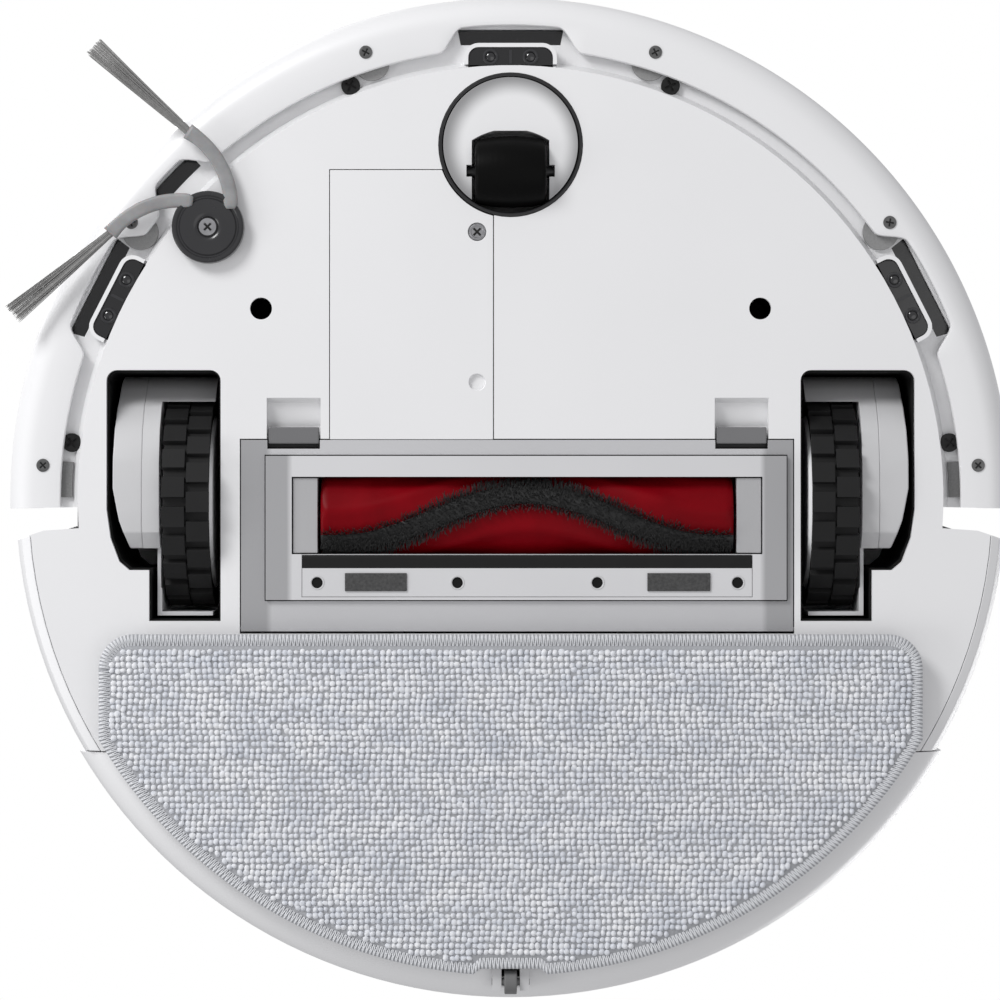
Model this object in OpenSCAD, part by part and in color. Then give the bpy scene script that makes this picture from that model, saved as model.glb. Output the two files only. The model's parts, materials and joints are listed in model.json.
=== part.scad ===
// Round robot vacuum cleaner with a mopping plate, standing on its wheels.
// Millimetres. The front is -Y and up is +Z. The origin is on the floor under the body's middle.
// Angles round the body are counted from the front, positive towards +X.

/* [Body] */
// Radius of the bumper, the widest part of the body
body_r = 176.2; // [175:0.1:178]
// Height of the body's flat deck above the floor
deck_z = 79; // [78:0.5:84]
// Height of the laser turret's top above the floor
turret_top = 96.5; // [95:0.5:104]
// Gap between the floor and the underside
clearance = 9; // [8.8:0.1:9.2]
// Thickness of the moulded walls
skin = 2.4; // [2:0.1:2.6]

/* [Wheels] */
// Diameter of a drive wheel over its tread
wheel_d = 74; // [73:0.5:74.5]
// Width of a tyre
tyre_w = 16.4; // [15:0.2:16.6]
// Distance from the body's middle to a tyre's middle
wheel_x = 113; // [112.8:0.1:113.2]
// Lugs in each of a tyre's two rows
lug_count = 22; // [16:1:26]

/* [Caster] */
// Diameter of the caster's round bezel
caster_bezel_d = 50.2; // [49.5:0.1:50.6]
// Diameter of the caster's roller
caster_roller_d = 25; // [24:0.5:25]

/* [Brushes] */
// Diameter of the main brush over its bristles
roller_d = 36.8; // [35:0.2:37]
// Diameter of the side brush's hub
side_hub_d = 25.2; // [24:0.2:26]
// Reach of the side brush from its axis to its tips
side_reach = 76; // [70:1:77]

/* [Mop] */
// Radius of the mop pad's rear edge
pad_r = 166; // [164:0.5:167]
// Thickness of the mop pad
pad_h = 4; // [3.5:0.1:4.2]

/* [Hidden] */
$fn = 64;

far = 400;                         // longer than the whole body, for cutting boxes
gap = 0.4;                         // air left between neighbouring pieces
plate_z = clearance;               // underside of the base plate
plate_top = plate_z + skin;

// bumper and the channel behind it
bumper_end = 91.2;                 // angle of the bumper's two ends
flange_r = 157.5;                  // inner edge of the bumper's bottom flange
flange_z = plate_z + 2;
bumper_top = deck_z - 5;
bumper_wall = 2.5;
bumper_round = 9.2;                // radius of the bumper's lower edge
recess_r = 165.5;                  // the flange's edge at its sensor cut-outs
edge_r = 151.2;                    // outer edge of the flat underside in front
channel_z = plate_z + 6.5;         // floor of the channel between plate and bumper
channel_t = 2;
inner_wall_r = 168;                // wall behind the bumper
cliff_angles = [-63, 0, 63];
small_cut = [-50, -43];
flange_cuts = [[-70, -55.5], small_cut, [-7.5, 7.5], [55.5, 70]];
bumper_screw_angles = [-86, -54, -18, 18, 54, 86];
bumper_screw_r = 164;
channel_screw_angles = [-82.8, -21.2, 21.2, 82.8];
channel_screw_r = 155.1;
foam_spots = [[-54.3, 159.9], [-17.7, 160.3], [17.7, 160.3], [54.3, 159.9]];
panel_start = 80;                  // angle where the bumper's side panels begin

// rear shell, tank and mop
shell_r = 174;
shell_top = deck_z - skin - 0.05;
shell_foot_r = 168.4;              // where the rear side shell meets the base plate
tank_r = 176;
tank_y = 88.8;                     // parting line of the tank at the body's sides
tank_stem_x = 88;                  // half width of the tank's front part
tank_stem_y = 58.8;
tank_top = 66;
duct_x = 28;                       // half width of the air way from brush to dust bin
duct_z = [37.5, 44];
pad_front = 47.3;
pad_x = 143.2;
pad_corner = 12;
bracket_z = pad_h;
bracket_top = plate_z - 0.3;
rear_roller_y = 168.5;
rear_roller_z = 5.6;
rear_roller_r = 4.3;

// wheels
wheel_r = wheel_d / 2;
wheel_y = 1.4;
wheel_z = wheel_r;
arm_pivot = [-20, 40];             // Y and Z of the suspension arm's pin
arm_pin_r = 3;
nose_r = 23.5;                     // the arm's round nose about its pin
well_x0 = 102;
well_x1 = 140.5;
well_y0 = -44;
well_y1 = 42.3;
well_step = [125.6, 24.5];         // corner where the well narrows beside the tyre
well_top = deck_z - skin - 1.2;

// battery door
door = [-63.1, -114.6, -6.1, -20.5];
door_screw = [-11.7, -93];
door_hole = [-11.7, -40.5];

// caster
caster_y = -123.4;
caster_trail = 9.2;
caster_r = caster_bezel_d / 2;
cup_r = caster_r - 1.6;
caster_z = caster_roller_d / 2;

// main brush, its cover and its floating guard
cover_x = [-94.2, 98.7];
cover_y = [-20.3, 46.6];
cover_t = 2.5;
cover_hinge = [45.6, 10.2];         // Y and Z of the cover's hinge
cover_pin_r = 0.8;
guard_x = [-85.5, 96.3];
guard_y = [-14.7, 35.6];
guard_z = plate_z - 1.5;
guard_t = 2.5;
mouth_x = [-76.4, 87.9];
mouth_y = [-7.4, 19.6];
bar_x = [-72.9, 84.4];
bar_y = [24.5, 34.6];
bar_t = 1.2;
bar_screws_x = [-67.5, -18.5, 30.2, 79.2];
felt_x = [[-57.8, -36.2], [47.7, 69.7]];
felt_y = [26.2, 32.5];
roller_y = 6.1;
roller_z = 23;
roller_r = roller_d / 2;
core_r = roller_r - 2.2;
bearing_w = 8.6;
shaft_r = 3;
latch_x = [-75.8, 80.7];
latch_w = 17.6;

// side brush
side_xy = [-105.5, -94.4];
side_hub_z = 4.2;
arm_arc_c = [-22.9, -6.8];         // middle of an arm's arc, from the hub's axis
arm_arc_r = 31;
arm_w = 5;
arm_pitch = 82;                    // angle between the two arms

// small holes, turret and buttons
well_holes = [[-87.2, -66.2], [87.2, -66.2]];
well_hole_r = 3.85;
turret_xy = [0, 32];
turret_r = 46;
rotor_r = 36;
button_y = -72;
button_x = 13;
button_r = 7;

// Box between two corners
module slab(a, b) {
  translate(a) cube(b - a);
}

// Rod along X between x0 and x1
module xrod(x0, x1, y, z, r) {
  translate([x0, y, z]) rotate([0, 90, 0]) cylinder(r = r, h = x1 - x0);
}

// Outline in Y and Z, carried along X from x0 to x1
module xprism(x0, x1, points) {
  translate([x0, 0, 0]) rotate([90, 0, 90]) linear_extrude(x1 - x0) polygon(points);
}

// Outline in radius and height, swept round the body between two angles
module sweep(a0, a1, points) {
  rotate([0, 0, a0 - 90]) rotate_extrude(angle = a1 - a0, $fn = 180) polygon(points);
}

// Square ring section swept between two angles
module ring(a0, a1, r0, r1, z0, z1) {
  sweep(a0, a1, [[r0, z0], [r1, z0], [r1, z1], [r0, z1]]);
}

// Places children at an angle round the body, X pointing outwards
module at_angle(a, r = 0) {
  rotate([0, 0, a - 90]) translate([r, 0, 0]) children();
}

// Points of an arc
function arc(c, r, a0, a1, n = 6) =
  [for (i = [0:n]) c + r * [cos(a0 + (a1 - a0) * i / n), sin(a0 + (a1 - a0) * i / n)]];

// Rectangle with round corners
function round_rect(x0, y0, x1, y1, r) = concat(
  arc([x1 - r, y1 - r], r, 0, 90), arc([x0 + r, y1 - r], r, 90, 180),
  arc([x0 + r, y0 + r], r, 180, 270), arc([x1 - r, y0 + r], r, 270, 360));

// Crosshead screw with its head's flat side down, head's underside at z
module screw(r, head_h, shank_h) {
  difference() {
    union() {
      cylinder(r = r, h = head_h);
      cylinder(r = r * 0.45, h = head_h + shank_h);
    }
    for (turn = [0, 90]) rotate([0, 0, turn + 45])
      translate([-r * 0.62, -r * 0.13, -1]) cube([r * 1.24, r * 0.26, 1 + head_h * 0.7]);
  }
}

// Wheel well outline on the right-hand side, grown by d
function well_points(d = 0) = concat(
  arc([well_x0 + 3, well_y0 + 3], 3 + d, 180, 270),
  arc([well_x1 - 3, well_y0 + 3], 3 + d, 270, 360),
  [[well_x1 + d, 4], [well_x1 - 1.4 + d, 14], [well_x1 - 4.5 + d, 21.5 + d],
   [well_x1 - 8 + d, well_step[1] + d], [well_step[0] + d, well_step[1] + d],
   [well_step[0] + d, well_y1 + d], [well_x0 - d, well_y1 + d]]);

module both_sides() {
  children();
  mirror([1, 0, 0]) children();
}

// Gap at each end of the bumper
module end_notch() {
  both_sides() translate([0, 0, -1]) linear_extrude(far)
    polygon([[159.5, 1.5], [190, 1.5], [190, 19], [174, 15], [159.5, 10.2]]);
}

// T-shaped room of the tank, from the rear
module tank_room(d = 0, z0 = 0, z1 = far) {
  slab([-far, tank_y - d, z0], [far, far, z1]);
  slab([-tank_stem_x - d, tank_stem_y - d, z0], [tank_stem_x + d, far, z1]);
}

module base_plate() color("white") {
  difference() {
    union() {
      translate([0, 0, plate_z]) cylinder(r = edge_r, h = skin, $fn = 180);
      translate([0, 0, plate_z]) linear_extrude(skin) polygon(concat([[0, 0]],
        arc([0, 0], shell_foot_r - 0.2, 4, 176, 60)));
      for (x = latch_x) slab([x - 10.6, -36.2, plate_z], [x + 10.6, -20.9, plate_z + 7.4]);
    }
    both_sides() translate([0, 0, -1]) linear_extrude(far) polygon(well_points(0.7));
    slab([cover_x[0] - gap, cover_y[0] - gap, 0], [cover_x[1] + gap, cover_y[1] + 2 * gap, far]);
    xrod(cover_x[0] - 2, cover_x[1] + 2, cover_hinge[0], cover_hinge[1], cover_pin_r + 0.05);
    slab([door[0] - 0.3, door[1] - 0.3, 0], [door[2] + 0.3, cover_y[0], far]);
    translate([0, caster_y, 0]) cylinder(r = caster_r + 0.2, h = far, $fn = 128);
    translate([side_xy[0], side_xy[1], 0]) cylinder(r = 7.3, h = far);
    for (x = latch_x) {
      slab([x - latch_w / 2 - gap, -25.4, 0], [x + latch_w / 2 + gap, -20, plate_z + 5.2]);
      xprism(x - 9.4, x + 9.4, [[-35, plate_z - 1], [-35, plate_z], [-33.4, plate_z + 3],
        [-25, plate_z + 5.3], [-19, plate_z + 5.3], [-19, plate_z - 1]]);
    }
    for (p = well_holes) translate([p[0], p[1], 0]) cylinder(r = well_hole_r, h = far);
    tank_room(gap);
    end_notch();
  }
}

// Dark linings of the two wheel wells, each with its arm's pin, and of the two deep holes
module wheel_wells() color("black") {
  both_sides() {
    difference() {
      linear_extrude(well_top) polygon(well_points(1.4));
      translate([0, 0, -1]) linear_extrude(far) polygon(well_points());
      slab([-far, -far, -1], [far, far, plate_top + 0.05]);
    }
    xrod(123, well_x1 + 1, arm_pivot[0], arm_pivot[1], arm_pin_r);
  }
  for (p = well_holes) translate([p[0], p[1], plate_top + 0.05]) difference() {
    cylinder(r = 5.6, h = 30);
    translate([0, 0, -1]) cylinder(r = well_hole_r, h = 29);
  }
}

// Plan of a cliff sensor's window, round at its outer corners, grown by d and starting at x0
function window_points(x0, d) = concat([[x0, -14.8 - d]],
  arc([154, -11.2], 3.6 + d, -90, 0), arc([154, 11.2], 3.6 + d, 0, 90), [[x0, 14.8 + d]]);

// Floor of the channel behind the bumper, with a frame round each cliff sensor
module bumper_channel() color("white") difference() {
  union() {
    sweep(-bumper_end, bumper_end, [[edge_r + 0.05, plate_z + 0.6], [edge_r + 2.3, channel_z],
      [inner_wall_r - 2, channel_z], [inner_wall_r - 2, channel_z + channel_t],
      [edge_r + 0.05, channel_z + channel_t]]);
    for (a = cliff_angles) at_angle(a) translate([0, 0, plate_z + 0.3])
      linear_extrude(channel_z + channel_t - plate_z - 0.8) polygon(window_points(edge_r + 0.4, 1.4));
  }
  for (a = cliff_angles) at_angle(a) {
    linear_extrude(far) polygon(window_points(edge_r - 3, 0));
    translate([0, 0, channel_z - 1]) linear_extrude(far)
      polygon([[159, -17.5], [164.6, -18.6], [164.6, 18.6], [159, 17.5]]);
  }
  ring(small_cut[0], small_cut[1], 159.5, 165.2, 0, far);
  for (a = channel_screw_angles) at_angle(a, channel_screw_r) cylinder(r = 3.5, h = channel_z);
  end_notch();
}

// Wall round the rear, down to the base plate, and the wall behind the bumper
module side_shell() color("white") difference() {
  union() {
    sweep(92, 268, [[shell_foot_r, plate_z], [171.6, plate_z + 1.4], [173.4, plate_z + 4.6],
      [shell_r, plate_z + 10], [shell_r, shell_top], [shell_r - skin, shell_top],
      [shell_r - skin, plate_z + 10], [169.4, plate_z + skin + 0.4], [shell_foot_r, plate_z + skin]]);
    ring(-92, 92, inner_wall_r - 2, inner_wall_r, channel_z + channel_t + 0.1, shell_top);
  }
  difference() {
    tank_room(gap, 0, tank_top + gap);
    slab([-far, -far, -1], [far, tank_stem_y - 1, far]);
  }
  end_notch();
}

// Round lid of the body, with the holes for the turret and the buttons
module top_shell() color("white") difference() {
  rotate_extrude($fn = 180) polygon([[0, deck_z - skin], [shell_r - 1, deck_z - skin],
    [shell_r, deck_z - skin + 0.4], [shell_r, deck_z - 1.8], [shell_r - 1.8, deck_z], [0, deck_z]]);
  translate([turret_xy[0], turret_xy[1], 0]) cylinder(r = turret_r - 3, h = far, $fn = 128);
  for (x = [-button_x, button_x])
    translate([x, button_y, 0]) cylinder(r = button_r + gap, h = far);
  end_notch();
}

module deck_panel() color("gainsboro") difference() {
  translate([0, 0, deck_z]) cylinder(r1 = 156, r2 = 155, h = 1, $fn = 180);
  translate([turret_xy[0], turret_xy[1], 0]) cylinder(r = turret_r + gap, h = far, $fn = 128);
  for (x = [-button_x, button_x])
    translate([x, button_y, 0]) cylinder(r = button_r + gap, h = far);
}

module battery_cover() color("white") difference() {
  slab([door[0], door[1], plate_z], [door[2], door[3], plate_top]);
  translate([0, caster_y, 0]) cylinder(r = caster_r + 0.4, h = far, $fn = 128);
  translate([door_screw[0], door_screw[1], 0]) cylinder(r = 3.2, h = plate_z + 1.4);
  translate([door_screw[0], door_screw[1], 0]) cylinder(r = 1.6, h = far);
  translate([door_hole[0], door_hole[1], 0]) cylinder(r = 2.9, h = plate_z + 1.4);
}

module battery_cover_screw() color("silver")
  translate([door_screw[0], door_screw[1], plate_z + 0.2]) screw(2.9, 1.2, 6);

module battery_pack() color("royalblue") difference() {
  slab([door[0] + 3, -94, plate_top + 0.4], [door[2] - 2, -24, plate_top + 44]);
  translate([door_screw[0], door_screw[1], 0]) cylinder(r = 3, h = plate_top + 10);
}

module main_board() color("darkgreen") difference() {
  slab([-80, -120, 60], [70, -20, 61.6]);
  for (x = [-76, 66]) for (y = [-116, -24]) translate([x, y, 0]) cylinder(r = 1.7, h = far);
}

module suction_fan() color("dimgray") translate([119, 67, 0]) {
  translate([0, 0, plate_top + 1]) cylinder(r = 19, h = 30);
  translate([0, 0, plate_top + 31]) cylinder(r = 14, h = 18);
  difference() {
    slab([-30, -9, plate_top + 4], [-17, 9, plate_top + 24]);
    slab([-31, -7.4, plate_top + 5.6], [-18, 7.4, plate_top + 22.4]);
  }
}

module brush_motor() color("dimgray") {
  xrod(-78.5, -46, 30, 58, 10.5);
  slab([-88, 14, 47], [-78, 44, 70]);
}

module side_brush_motor() color("dimgray") translate([side_xy[0], side_xy[1], 0]) difference() {
  union() {
    translate([0, 0, 22]) cylinder(r = 13, h = 30);
    translate([0, 0, plate_z + 1.6]) cylinder(r = 7, h = 22 - plate_z - 1.6);
  }
  translate([0, 0, plate_z]) cylinder(r = shaft_r + 0.05, h = 12);
}

// Housing over the main brush, with the air way to the dust bin
module brush_tunnel() color("dimgray") difference() {
  union() {
    slab([cover_x[0] + 0.8, cover_y[0] + 0.8, plate_top + 1.3], [cover_x[1] - 0.8, cover_y[1], 46]);
    slab([-duct_x - 2, cover_y[1] - 1, duct_z[0] - 2], [duct_x + 2, tank_stem_y - 0.6, 46]);
  }
  slab([cover_x[0] + 2.6, cover_y[0] + 2.6, 0], [cover_x[1] - 2.6, cover_y[1] - 1.8, duct_z[1]]);
  slab([-duct_x, 40, duct_z[0]], [duct_x, 60, duct_z[1]]);
}

module brush_bearings() color("lightgray") for (side = [0, 1])
  let (x0 = side == 0 ? mouth_x[0] + 0.4 : mouth_x[1] - 0.4 - bearing_w) difference() {
    slab([x0, mouth_y[0] + 0.4, plate_z - 0.6], [x0 + bearing_w, mouth_y[1] - 0.4, duct_z[1] - 0.1]);
    xrod(x0 - 1, x0 + bearing_w + 1, roller_y, roller_z, shaft_r + 0.05);
  }

module caster_bezel() color("black") translate([0, caster_y, 0]) difference() {
  translate([0, 0, plate_z - 0.4]) cylinder(r = caster_r, h = 24, $fn = 128);
  translate([0, 0, plate_z - 1]) cylinder(r = cup_r + 0.35, h = 22.6, $fn = 128);
  cylinder(r = 4.05, h = far);
}

module cliff_sensors() color("black") {
  for (a = cliff_angles) at_angle(a) {
    translate([0, 0, plate_z + 0.8]) linear_extrude(channel_z + channel_t - plate_z - 0.8)
      polygon(window_points(edge_r + 0.1, -0.3));
    slab([edge_r, -19, channel_z + channel_t], [inner_wall_r - 3.5, 19, 30]);
  }
  ring(small_cut[0] - 0.8, small_cut[1] + 1, 158, 165.6, channel_z + channel_t + 0.1, 30);
}

module foam_pads() color("gray") for (p = foam_spots)
  at_angle(p[0], p[1]) translate([0, 0, channel_z - 1.5]) cylinder(r = 6.3, h = 1.5);

module corner_pads() color("dimgray") for (side = [-1, 1])
  ring(side * 87.6 - 2.3, side * 87.6 + 2.3, 153.8, 162, channel_z - 1.5, channel_z);

module channel_screws() color("black") for (a = channel_screw_angles)
  at_angle(a, channel_screw_r) translate([0, 0, channel_z - 1.7]) screw(3.3, 1.65, 0);

module lidar_base() color("dimgray") translate([turret_xy[0], turret_xy[1], 0]) difference() {
  translate([0, 0, tank_top + 1]) cylinder(r = turret_r - 3.4, h = deck_z - tank_top - 1, $fn = 128);
  translate([0, 0, tank_top + 2.6]) cylinder(r = turret_r - 5.4, h = far, $fn = 128);
  cylinder(r = 4.05, h = far);
}

module lidar_cap() color("white") translate([turret_xy[0], turret_xy[1], 0]) {
  translate([0, 0, deck_z]) difference() {
    cylinder(r = turret_r, h = 3, $fn = 128);
    translate([0, 0, -1]) cylinder(r = rotor_r + 1.6, h = 5, $fn = 128);
  }
  for (turn = [30, 150, 270]) rotate([0, 0, turn])
    slab([rotor_r + 2, -5, deck_z + 3], [turret_r - 2.5, 5, turret_top - 3]);
  translate([0, 0, turret_top - 3.4]) cylinder(r = turret_r - 0.6, h = 1.6, $fn = 128);
  translate([0, 0, turret_top - 1.8]) cylinder(r1 = turret_r - 0.6, r2 = turret_r - 3.4, h = 1.8,
    $fn = 128);
}

module lidar_rotor() color("black") translate([turret_xy[0], turret_xy[1], 0]) {
  translate([0, 0, tank_top + 3.6]) cylinder(r = rotor_r, h = turret_top - tank_top - 8, $fn = 128);
  translate([0, 0, tank_top - 4]) cylinder(r = 4, h = 8);
}

module deck_button(x) translate([x, button_y, 0]) {
  translate([0, 0, deck_z - 4]) cylinder(r = button_r, h = 6);
}

module power_button() color("white") deck_button(-button_x);

module home_button() color("white") deck_button(button_x);

module bumper_shell() color("white") difference() {
  sweep(-bumper_end, bumper_end, concat(
    [[flange_r, flange_z]],
    arc([body_r - bumper_round, flange_z + bumper_round], bumper_round, -90, 0),
    [[body_r, bumper_top - 3], [body_r - 3, bumper_top], [inner_wall_r + 3.6, bumper_top],
     [inner_wall_r + 3.6, bumper_top - 2], [body_r - bumper_wall - 1, bumper_top - 2],
     [body_r - bumper_wall, bumper_top - 3.5]],
    arc([body_r - bumper_round, flange_z + bumper_round], bumper_round - bumper_wall, 0, -90),
    [[flange_r, flange_z + bumper_wall]]));
  for (cut = flange_cuts) ring(cut[0], cut[1], flange_r - 2, recess_r, 0, flange_z + bumper_wall + 1);
  for (side = [-1, 1]) let (mid = side * (panel_start + bumper_end + 1) / 2, half = 6.1)
    ring(mid - half, mid + half, body_r - 1.3, body_r + 2, flange_z + 5, bumper_top + 1);
  ring(-22, 22, body_r - 1.1, body_r + 1, 38, 56);
  for (a = bumper_screw_angles) at_angle(a, bumper_screw_r) {
    translate([0, 0, flange_z - 1]) cylinder(r = 2.4, h = 2.2);
    cylinder(r = 1.1, h = flange_z + 9);
  }
}

module bumper_side_panels() color("white") for (side = [-1, 1])
  let (mid = side * (panel_start + bumper_end) / 2, half = (bumper_end - panel_start) / 2 - 0.2)
    ring(mid - half, mid + half, body_r - 2.6 + 1.3, body_r - 0.9, flange_z + 5.2, bumper_top - 3);

module bumper_screws() color("gray") for (a = bumper_screw_angles)
  at_angle(a, bumper_screw_r) translate([0, 0, flange_z]) screw(2.3, 1.1, 1.6);

module sensor_window() color("black")
  ring(-21.8, 21.8, body_r - 1.1, body_r, 38.2, 55.8);

// Profile of the suspension arm in Y and Z: a round nose about its pin, then the belly
function arm_profile(top) = concat(
  [[arm_pivot[0], top]], arc([arm_pivot[0], arm_pivot[1]], nose_r, 110, 228, 12),
  [[-32, 17], [-24, 10.5], [-12, 7], [4, 6.4], [12, 7.6], [17.6, 12], [17.6, top]]);

// Gearbox half nearer the tyre, with the nose and the guard round the tyre's rear
module gearbox() difference() {
  union() {
    xprism(122.7, 128.6, arm_profile(62));
    intersection() {
      xprism(104, 128.6, arm_profile(62));
      slab([0, -far, 0], [far, -34, far]);
    }
    slab([122.2, 17, 14], [123.8, 41.2, 46]);
    slab([104.4, 39.8, 14], [123.8, 41.2, 46]);
  }
  translate([wheel_x, wheel_y, wheel_z]) rotate([0, 90, 0])
    cylinder(r = wheel_r + 0.9, h = 19.2, center = true, $fn = 128);
  xrod(100, 127, wheel_y, wheel_z, shaft_r + 0.05);
  xrod(100, 130, arm_pivot[0], arm_pivot[1], arm_pin_r + 0.05);
}

// Gearbox half on the outside
module gearbox_lid() difference() {
  xprism(128.6, 138.8, arm_profile(60));
  translate([0, 0, -1]) linear_extrude(far)
    polygon([[137.6, -50], [138.9, -12], [138.9, -4], [136.6, 8], [133, 18.2], [160, 18.2], [160, -50]]);
  xrod(128, 140, arm_pivot[0], arm_pivot[1], arm_pin_r + 0.05);
}

// Rim with its axle, and the pale disc on its inner side
module wheel_hub() {
  xrod(wheel_x - 7.2, wheel_x + 8.2, wheel_y, wheel_z, wheel_r - 5.65);
  xrod(wheel_x + 8, 126.6, wheel_y, wheel_z, shaft_r);
  translate([wheel_x - 7.2, wheel_y, wheel_z]) rotate([0, -90, 0])
    cylinder(r1 = wheel_r - 5.65, r2 = wheel_r - 7.5, h = 1.7, $fn = 96);
}

// Tyre with two rows of lugs, each half a pitch from the other
module wheel_tyre() translate([wheel_x, wheel_y, wheel_z]) rotate([0, 90, 0]) {
  difference() {
    cylinder(r = wheel_r - 2.2, h = tyre_w - 0.6, center = true, $fn = 96);
    cylinder(r = wheel_r - 5.6, h = tyre_w + 1, center = true, $fn = 96);
  }
  for (row = [0, 1]) for (i = [0:lug_count - 1])
    rotate([0, 0, (i + row / 2) * 360 / lug_count])
      translate([wheel_r - 2.7, -3.6, row == 0 ? -tyre_w / 2 : 0.3])
        cube([2.7 - 0.18, 7.2, tyre_w / 2 - 0.3]);
}

module left_gearbox() color("lightgray") mirror([1, 0, 0]) gearbox();
module left_gearbox_lid() color("lightgray") mirror([1, 0, 0]) gearbox_lid();
module left_hub() color("lightgray") mirror([1, 0, 0]) wheel_hub();
module left_tyre() color("black") mirror([1, 0, 0]) wheel_tyre();
module right_gearbox() color("lightgray") gearbox();
module right_gearbox_lid() color("lightgray") gearbox_lid();
module right_hub() color("lightgray") wheel_hub();
module right_tyre() color("black") wheel_tyre();

module caster_fork() color("white") translate([0, caster_y, 0]) difference() {
  union() {
    translate([0, 0, plate_z - 1.2]) cylinder(r = cup_r, h = 21.8, $fn = 128);
    translate([0, 0, plate_z + 20]) cylinder(r = 4, h = 10);
  }
  intersection() {
    translate([0, caster_trail, caster_z])
      rotate([0, 90, 0]) cylinder(r = caster_z + 2.2, h = 27, center = true, $fn = 96);
    translate([0, 19.6, 0]) cylinder(r = 25, h = far, $fn = 96);
  }
  slab([-13.5, caster_trail, 0], [13.5, 30, caster_z]);
  xrod(-15.4, 15.4, caster_trail, caster_z, 2.05);
  slab([-15.4, caster_trail - 2.05, 0], [15.4, caster_trail + 2.05, caster_z]);
}

module caster_roller() color("black") translate([0, caster_y + caster_trail, caster_z])
  rotate([0, 90, 0]) rotate_extrude($fn = 96) polygon(concat([[2.05, -12.4], [10.6, -12.4]],
    [for (i = [-5:5]) [caster_z - 0.07 * i * i * 25 / 36, i * 2.3]],
    [[10.6, 12.4], [2.05, 12.4]]));

module caster_axle() color("silver")
  xrod(-15.2, 15.2, caster_y + caster_trail, caster_z, 2);

module side_brush_hub() color("dimgray") translate([side_xy[0], side_xy[1], 0]) difference() {
  union() {
    translate([0, 0, side_hub_z]) cylinder(r1 = side_hub_d / 2 - 0.8, r2 = side_hub_d / 2, h = 1.2);
    translate([0, 0, side_hub_z + 1.2]) cylinder(r = side_hub_d / 2, h = 3.2);
    cylinder(r = shaft_r, h = plate_z + 9);
  }
  cylinder(r = 3.4, h = side_hub_z + 1.4);
  cylinder(r = 1.4, h = far);
}

// One arm of the side brush: a curved ribbon that leaves the hub's rim
module side_arm() difference() {
  translate([arm_arc_c[0], arm_arc_c[1], side_hub_z + 0.6])
    rotate([0, 0, -59]) rotate_extrude(angle = 62, $fn = 96)
      translate([arm_arc_r - arm_w / 2, 0]) square([arm_w, 2.4]);
  cylinder(r = side_hub_d / 2 + 0.05, h = far);
}

// One fan of bristles, from the arm's tip outwards and down
module side_bristle() translate([-6.6, -33.2, side_hub_z + 1.8]) rotate([0, 0, -138])
  rotate([0, 3, 0]) translate([0.8, 0, -0.7]) linear_extrude(1.4)
    polygon([[0, -1.4], [side_reach - 31.6, -3.8], [side_reach - 31.6, 3.8], [0, 1.4]]);

module side_brush_arms() color("gray") translate([side_xy[0], side_xy[1], 0])
  for (turn = [0, -arm_pitch]) rotate([0, 0, turn]) side_arm();

module side_brush_bristles() color("gray") translate([side_xy[0], side_xy[1], 0])
  for (turn = [0, -arm_pitch]) rotate([0, 0, turn]) difference() {
    side_bristle();
    side_arm();
  }

module side_brush_screw() color("silver")
  translate([side_xy[0], side_xy[1], side_hub_z + 0.2]) screw(3, 1.2, 7);

module brush_cover() color("silver") difference() {
  union() {
    slab([cover_x[0], cover_y[0], plate_z], [cover_x[1], cover_y[1], plate_z + cover_t]);
    xrod(cover_x[0] - 1.4, cover_x[1] + 1.4, cover_hinge[0], cover_hinge[1], cover_pin_r);
  }
  slab([guard_x[0] - gap, guard_y[0] - gap, 0], [guard_x[1] + gap, guard_y[1] + gap, far]);
  for (x = latch_x)
    slab([x - latch_w / 2 - gap, cover_y[0] - 1, 0], [x + latch_w / 2 + gap, cover_y[0] + 3.1, far]);
}

module latch(x) slab([x - latch_w / 2, -24.8, plate_z + 0.5], [x + latch_w / 2, -19, plate_z + 3.6]);

module left_latch() color("dimgray") latch(latch_x[0]);

module right_latch() color("dimgray") latch(latch_x[1]);

module guard_frame() color("silver") difference() {
  slab([guard_x[0], guard_y[0], guard_z], [guard_x[1], guard_y[1], guard_z + guard_t]);
  slab([mouth_x[0], mouth_y[0], 0], [mouth_x[1], mouth_y[1], far]);
  slab([bar_x[0], mouth_y[0], guard_z - 1], [bar_x[1], bar_y[1], guard_z + bar_t]);
  for (x = bar_screws_x) translate([x, (bar_y[0] + bar_y[1]) / 2, 0]) cylinder(r = 1, h = far);
}

module guard_bar() color("lightgray") difference() {
  slab([bar_x[0] + 0.2, bar_y[0], guard_z], [bar_x[1] - 0.2, bar_y[1] - 0.2, guard_z + bar_t]);
  for (x = bar_screws_x) translate([x, (bar_y[0] + bar_y[1]) / 2, 0]) cylinder(r = 1.95, h = far);
}

module scraper_strip() color("black") xprism(bar_x[0] + 0.2, bar_x[1] - 0.2,
  [[19.9, guard_z + 0.3], [20.6, guard_z - 0.1], [bar_y[0], guard_z - 0.1],
   [bar_y[0], guard_z + bar_t], [19.9, guard_z + bar_t]]);

module guard_screws() color("black") for (x = bar_screws_x)
  translate([x, (bar_y[0] + bar_y[1]) / 2, guard_z + 0.4]) {
    cylinder(r = 1.95, h = bar_t - 0.4);
    cylinder(r = 1, h = guard_t - 0.4);
  }

module felt_pads() color("dimgray") for (x = felt_x)
  slab([x[0], felt_y[0], guard_z - 0.6], [x[1], felt_y[1], guard_z]);

module roller_core() color("firebrick") {
  xrod(mouth_x[0] + bearing_w + 0.9, mouth_x[1] - bearing_w - 0.9, roller_y, roller_z, core_r);
  xrod(mouth_x[0] + 1.4, mouth_x[1] - 1.4, roller_y, roller_z, shaft_r);
}

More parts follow.
